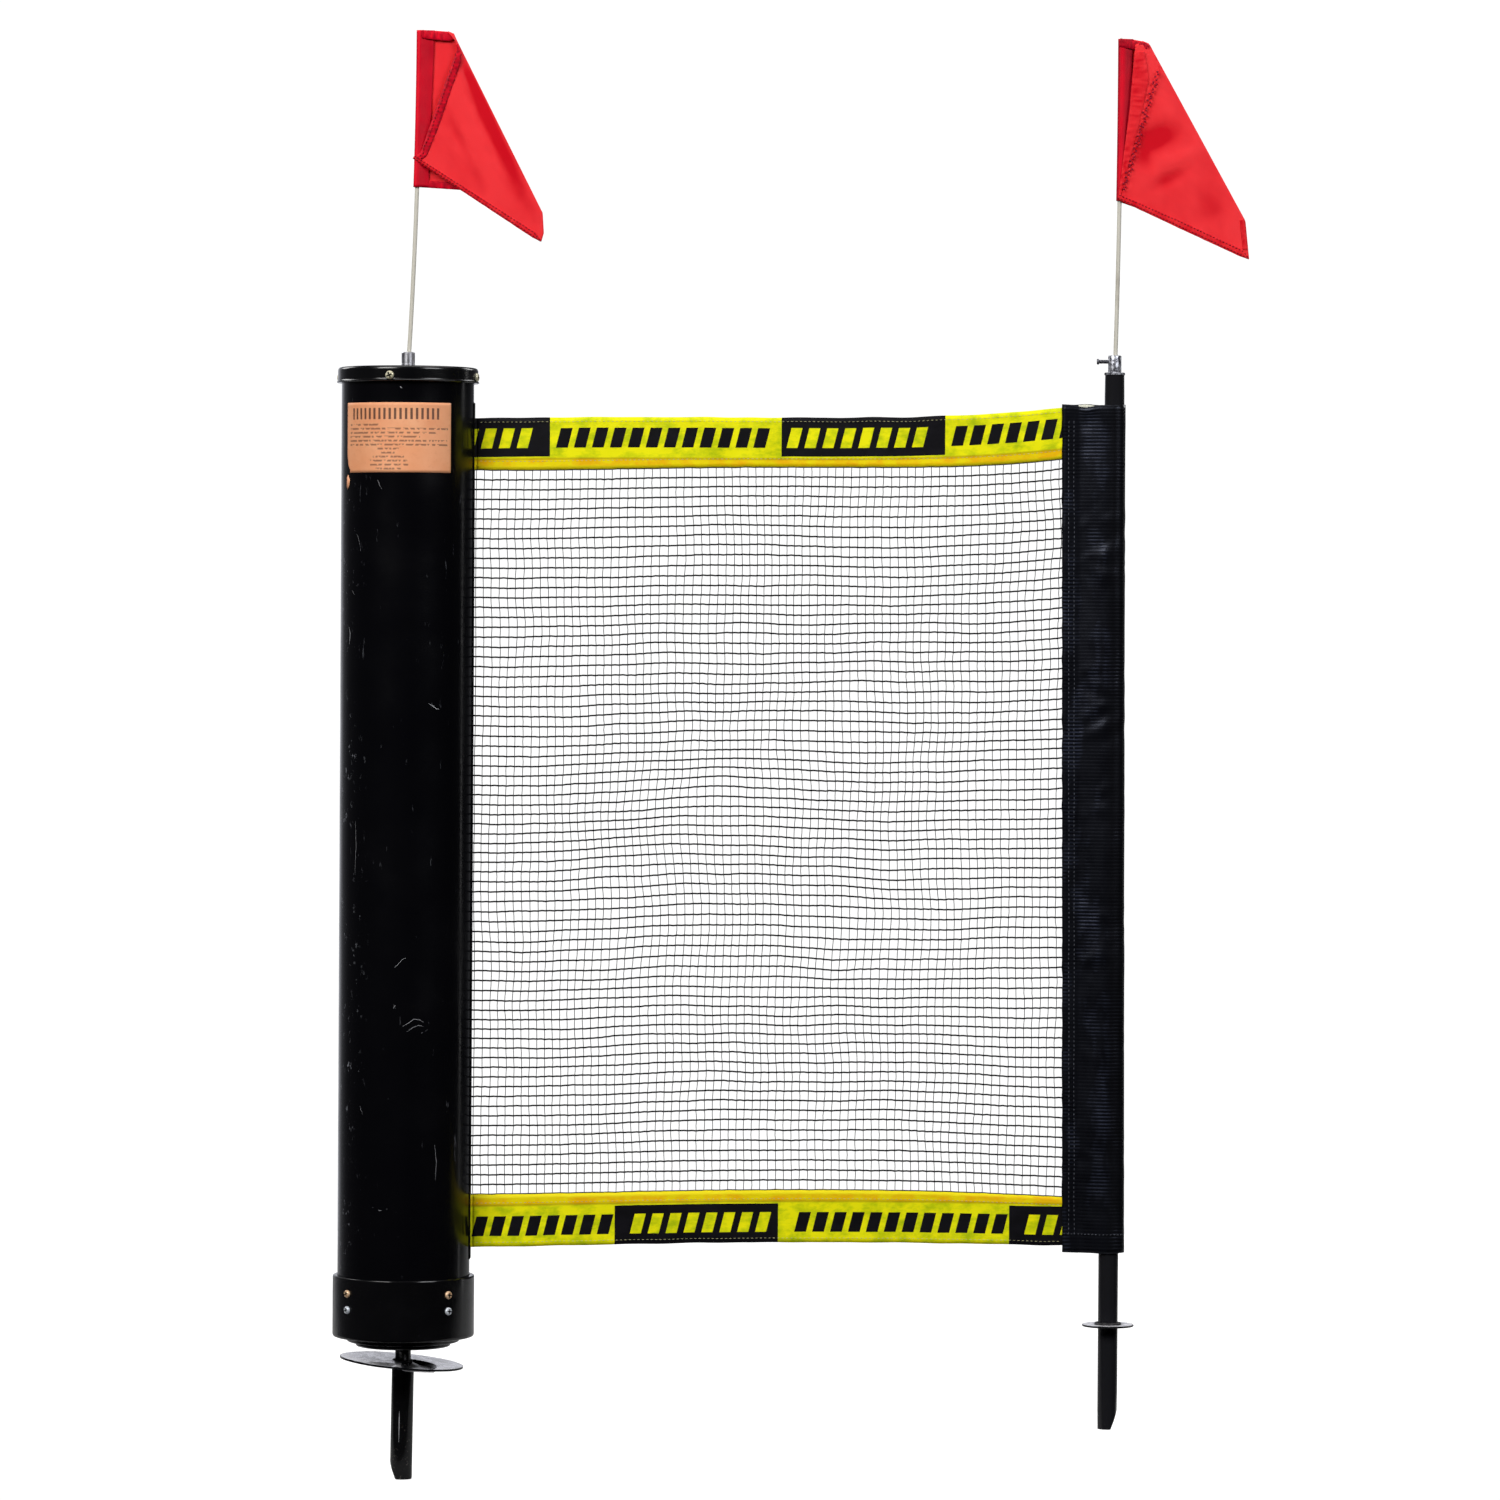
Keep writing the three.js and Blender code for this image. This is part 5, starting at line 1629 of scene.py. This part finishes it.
def hems(flag, side, rows, first_front):
    """Every folded and sewn edge of a pennant, and the points its stitches follow."""
    count = len(rows) - 1
    flap, lower = flag["flap_hem"], flag["lower_hem"]
    edge = [rows[i][-1] for i in range(round(flap[0][0] * count), round(flap[-1][0] * count) + 1)]
    edge_half = widths_along(flap, len(edge))
    middle = [(x + h * 0.93, y - 0.1, z - h * 0.25) for (x, y, z), h in zip(edge, edge_half)]
    below = rows[-1][first_front:]
    below_half = widths_along(lower, len(below))
    base = [(x, y - 0.2, z + h * 0.75) for (x, y, z), h in zip(below, below_half)]
    made = [
        ribbon(f"{side}_pennant_flap_hem", middle, edge_half, *FLAP_HEM_LOOK[side], seed=flag["seed"]),
        ribbon(f"{side}_pennant_lower_hem", base, below_half, "flag", seed=flag["seed"] + 3),
        *top_hems(flag, side),
    ]
    extra, seams = back_hem_and_seams(flag, middle) if side == "left" else tip_hem_and_seam(flag)
    made.append(extra)
    low = [(x, y - 0.75, z + h * 0.75) for (x, y, z), h in zip(base, below_half)]
    low_outer = [(x, y - 0.75, z - h * 0.5) for (x, y, z), h in zip(base, below_half)]
    return made, seams, [low, low_outer]


def pennant(side):
    """One pennant: its cloth, pole sleeve, hems and stitches."""
    flag = FLAGS[side]
    cloth, rows, first_front = pennant_sheet(flag, side)
    sleeve = pennant_sleeve(flag, side)
    made, seams, low_seams = hems(flag, side, rows, first_front)
    look, thick = ("red_thread", 0.7) if side == "left" else ("plum_thread", 1.25)
    made.append(stitches(f"{side}_pennant_flap_stitches", seams, look, 3.6, 2.7, thick))
    made.append(stitches(f"{side}_pennant_lower_stitches", low_seams, "red_thread", 3.4, 2.9, 0.7))
    for piece in (cloth, sleeve, *made):
        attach(piece, flag["body"])


# ---- materials of the CAD nodes that stay ---------------------------------------------------------

KEPT_NODES = {
    "moulding": [
        "slot_lip_front", "slot_lip_rear", "top_bearing_plate", "roller_bottom_plug", "roller_top_plug",
    ],
    "zinc": ["ferrule_nut", "spring_anchor"],
    "steel": ["arbor", "roller_spring"],
    "nylon": ["bottom_bush", "top_bush"],
    "zinc_tube": ["roller_tube"],
    "roll": ["net_roll"],
}


def dress_kept_nodes():
    """Gives the CAD nodes that stay visible their looks."""
    for look, nodes in KEPT_NODES.items():
        for name in nodes:
            mesh = frame["nodes"][name].data
            mesh.materials.clear()
            mesh.materials.append(LOOKS[look])


# ---- studio ---------------------------------------------------------------------------------------


FLOOR_RADIUS, FLOOR_FRONT, FLOOR_MIDDLE_X = 1400, -150, 330
FLOOR_SEGMENTS, FLOOR_GAP = 96, 0.6
FLOOR_GLOW, BACKDROP_GLOW = 0.85, 1.05  # seen by the camera only
# Brightness of the room from its front (0) to its back (1), from left to right, and from floor to ceiling.
ROOM_BY_DEPTH = [
    (0.0, (0.012, 0.012, 0.014)), (0.45, (0.03, 0.03, 0.034)), (0.6, (0.05, 0.05, 0.056)),
    (0.73, (0.06, 0.06, 0.068)), (0.88, (0.2, 0.205, 0.225)), (1.0, (1.0, 1.02, 1.1)),
]
ROOM_BY_SIDE = [(0.0, (1, 1, 1)), (0.5, (1, 1, 1)), (0.6, (0.16, 0.16, 0.16)), (1.0, (0.16, 0.16, 0.16))]
ROOM_BY_HEIGHT = [
    (0.0, (0.3, 0.3, 0.3)), (0.36, (0.4, 0.4, 0.4)), (0.45, (1, 1, 1)), (0.56, (1, 1, 1)),
    (0.68, (0.3, 0.3, 0.3)), (1.0, (0.3, 0.3, 0.3)),
]


CAMERA_PLACE = (0.32993, -6.170, 0.7077)
CAMERA_LENS, CAMERA_SENSOR = 154.32, 36
CAMERA_DOWN, CAMERA_ROLL = 1.087, 0.36  # degrees


def camera():
    """The camera, slightly above the middle of the object and looking slightly down on it."""
    data = bpy.data.cameras.new("camera")
    data.lens, data.sensor_width = CAMERA_LENS, CAMERA_SENSOR
    data.clip_end = 60
    made = bpy.data.objects.new("camera", data)
    made.location = CAMERA_PLACE
    turn = Matrix.Rotation(radians(90 - CAMERA_DOWN), 4, "X")
    turn = turn @ Matrix.Rotation(radians(CAMERA_ROLL), 4, "Z")
    made.rotation_euler = turn.to_euler()
    bpy.context.scene.collection.objects.link(made)
    bpy.context.scene.camera = made


def softbox(name, place, aim, size, power, tint=(1, 1, 1)):
    """A rectangular area light that points at aim, in metres and watts."""
    data = bpy.data.lights.new(name, "AREA")
    data.shape, (data.size, data.size_y) = "RECTANGLE", size
    data.energy, data.color = power, tint
    made = bpy.data.objects.new(name, data)
    made.location = place
    made.rotation_euler = (Vector(aim) - Vector(place)).to_track_quat("-Z", "Y").to_euler()
    bpy.context.scene.collection.objects.link(made)


def world():
    """White to the camera. The object sees a dim room in front, brighter behind it and on its left."""
    made = bpy.data.worlds.new("studio")
    bpy.context.scene.world = made
    made.use_nodes = True
    tree = made.node_tree
    tree.nodes.clear()
    new, link = tree.nodes.new, tree.links.new
    direction = new("ShaderNodeSeparateXYZ")
    link(new("ShaderNodeTexCoord").outputs["Generated"], direction.inputs[0])

    def ramp_of(axis, stops):
        place, ramp = new("ShaderNodeMapRange"), new("ShaderNodeValToRGB")
        place.inputs[1].default_value, place.inputs[2].default_value = -1, 1
        link(direction.outputs[axis], place.inputs[0])
        link(place.outputs[0], ramp.inputs[0])
        ends = ramp.color_ramp.elements
        for stop, (position, color) in zip((ends[0], ends[1]), (stops[0], stops[-1])):
            stop.position, stop.color = position, (*color, 1)
        for position, color in stops[1:-1]:
            ends.new(position).color = (*color, 1)
        return ramp.outputs[0]

    room = ramp_of("Y", ROOM_BY_DEPTH)
    for axis, stops in (("X", ROOM_BY_SIDE), ("Z", ROOM_BY_HEIGHT)):
        both = new("ShaderNodeMix")
        both.data_type, both.blend_type = "RGBA", "MULTIPLY"
        both.inputs[0].default_value = 1
        link(room, both.inputs[6])
        link(ramp_of(axis, stops), both.inputs[7])
        room = both.outputs[2]
    seen, lit = new("ShaderNodeBackground"), new("ShaderNodeBackground")
    seen.inputs[0].default_value = (1, 1, 1, 1)
    seen.inputs[1].default_value = BACKDROP_GLOW
    link(room, lit.inputs[0])
    mix, out = new("ShaderNodeMixShader"), new("ShaderNodeOutputWorld")
    link(new("ShaderNodeLightPath").outputs["Is Camera Ray"], mix.inputs[0])
    link(lit.outputs[0], mix.inputs[1])
    link(seen.outputs[0], mix.inputs[2])
    link(mix.outputs[0], out.inputs[0])


def floor():
    """A round sheet of pale paper just under the stake's point."""
    g = Graph("floor_paper", Roughness=0.9, Specular_IOR_Level=0.1)
    grain = g.noise(g.place(), 40, 3)
    g.color(g.mix(grain, (0.42, 0.42, 0.42, 1), (0.46, 0.46, 0.46, 1)))
    g.bsdf.inputs["Emission Color"].default_value = (1, 1, 1, 1)
    seen = g.node("LightPath").outputs["Is Camera Ray"]
    g.put(g.bsdf.inputs["Emission Strength"], g.times(seen, FLOOR_GLOW))
    LOOKS["floor"] = g.material
    z = STAKE_LOW.z - FLOOR_GAP
    middle = FLOOR_FRONT + FLOOR_RADIUS
    turns = [2 * pi * i / FLOOR_SEGMENTS for i in range(FLOOR_SEGMENTS)]
    rim = [
        (FLOOR_MIDDLE_X + FLOOR_RADIUS * cos(a), middle + FLOOR_RADIUS * sin(a), z)
        for a in turns
    ]
    made = make("floor", rim, [tuple(range(FLOOR_SEGMENTS))], "floor")


def studio():
    """Camera, backdrop, floor and lights."""
    camera()
    world()
    floor()
    middle = (0.33, 0, 0.6)
    softbox("key", (-2.6, -3.6, 3.6), middle, (2.4, 2.0), 215, (1.0, 0.99, 0.97))
    softbox("fill", (3.4, -3.4, 3.2), middle, (2.4, 2.0), 140, (0.97, 0.98, 1.0))
    softbox("overhead", (0.33, 0.4, 4.2), middle, (3.4, 3.0), 70)
    softbox("back_left", (-2.8, 2.6, 2.8), middle, (1.6, 1.8), 40)
    softbox("back_right", (3.4, 2.8, 2.8), middle, (1.6, 1.8), 40)
    softbox("right_strip", (2.6, 1.2, 0.75), (0.0, 0, 0.75), (0.12, 2.2), 1.5)


# ---- assembly -------------------------------------------------------------------------------------

studio()
dress_kept_nodes()
canister_skin()
cap()
collar_ring()
plug()
screws()
label()
scratches()
ferrule()
foot_plate()
stake()
stake_painted_highlight()
net()
tape_band("top_tape_band", TOP_TAPE, "upper", "top_tape", "top_tape", 51)
tape_band("bottom_tape_band", BOTTOM_TAPE, "lower", "bottom_tape", "bottom_tape", 55)
end_post()
pocket_cloth()
top_fitting()
thumb_screw()
flag_rod("left_rod_bar", LEFT_ROD, "left_flag_rod", "left_rod")
flag_rod("right_rod_bar", RIGHT_ROD, "right_flag_rod", "right_rod")
for flag_side in FLAGS:
    pennant(flag_side)

bpy.context.scene.view_settings.view_transform = "Standard"
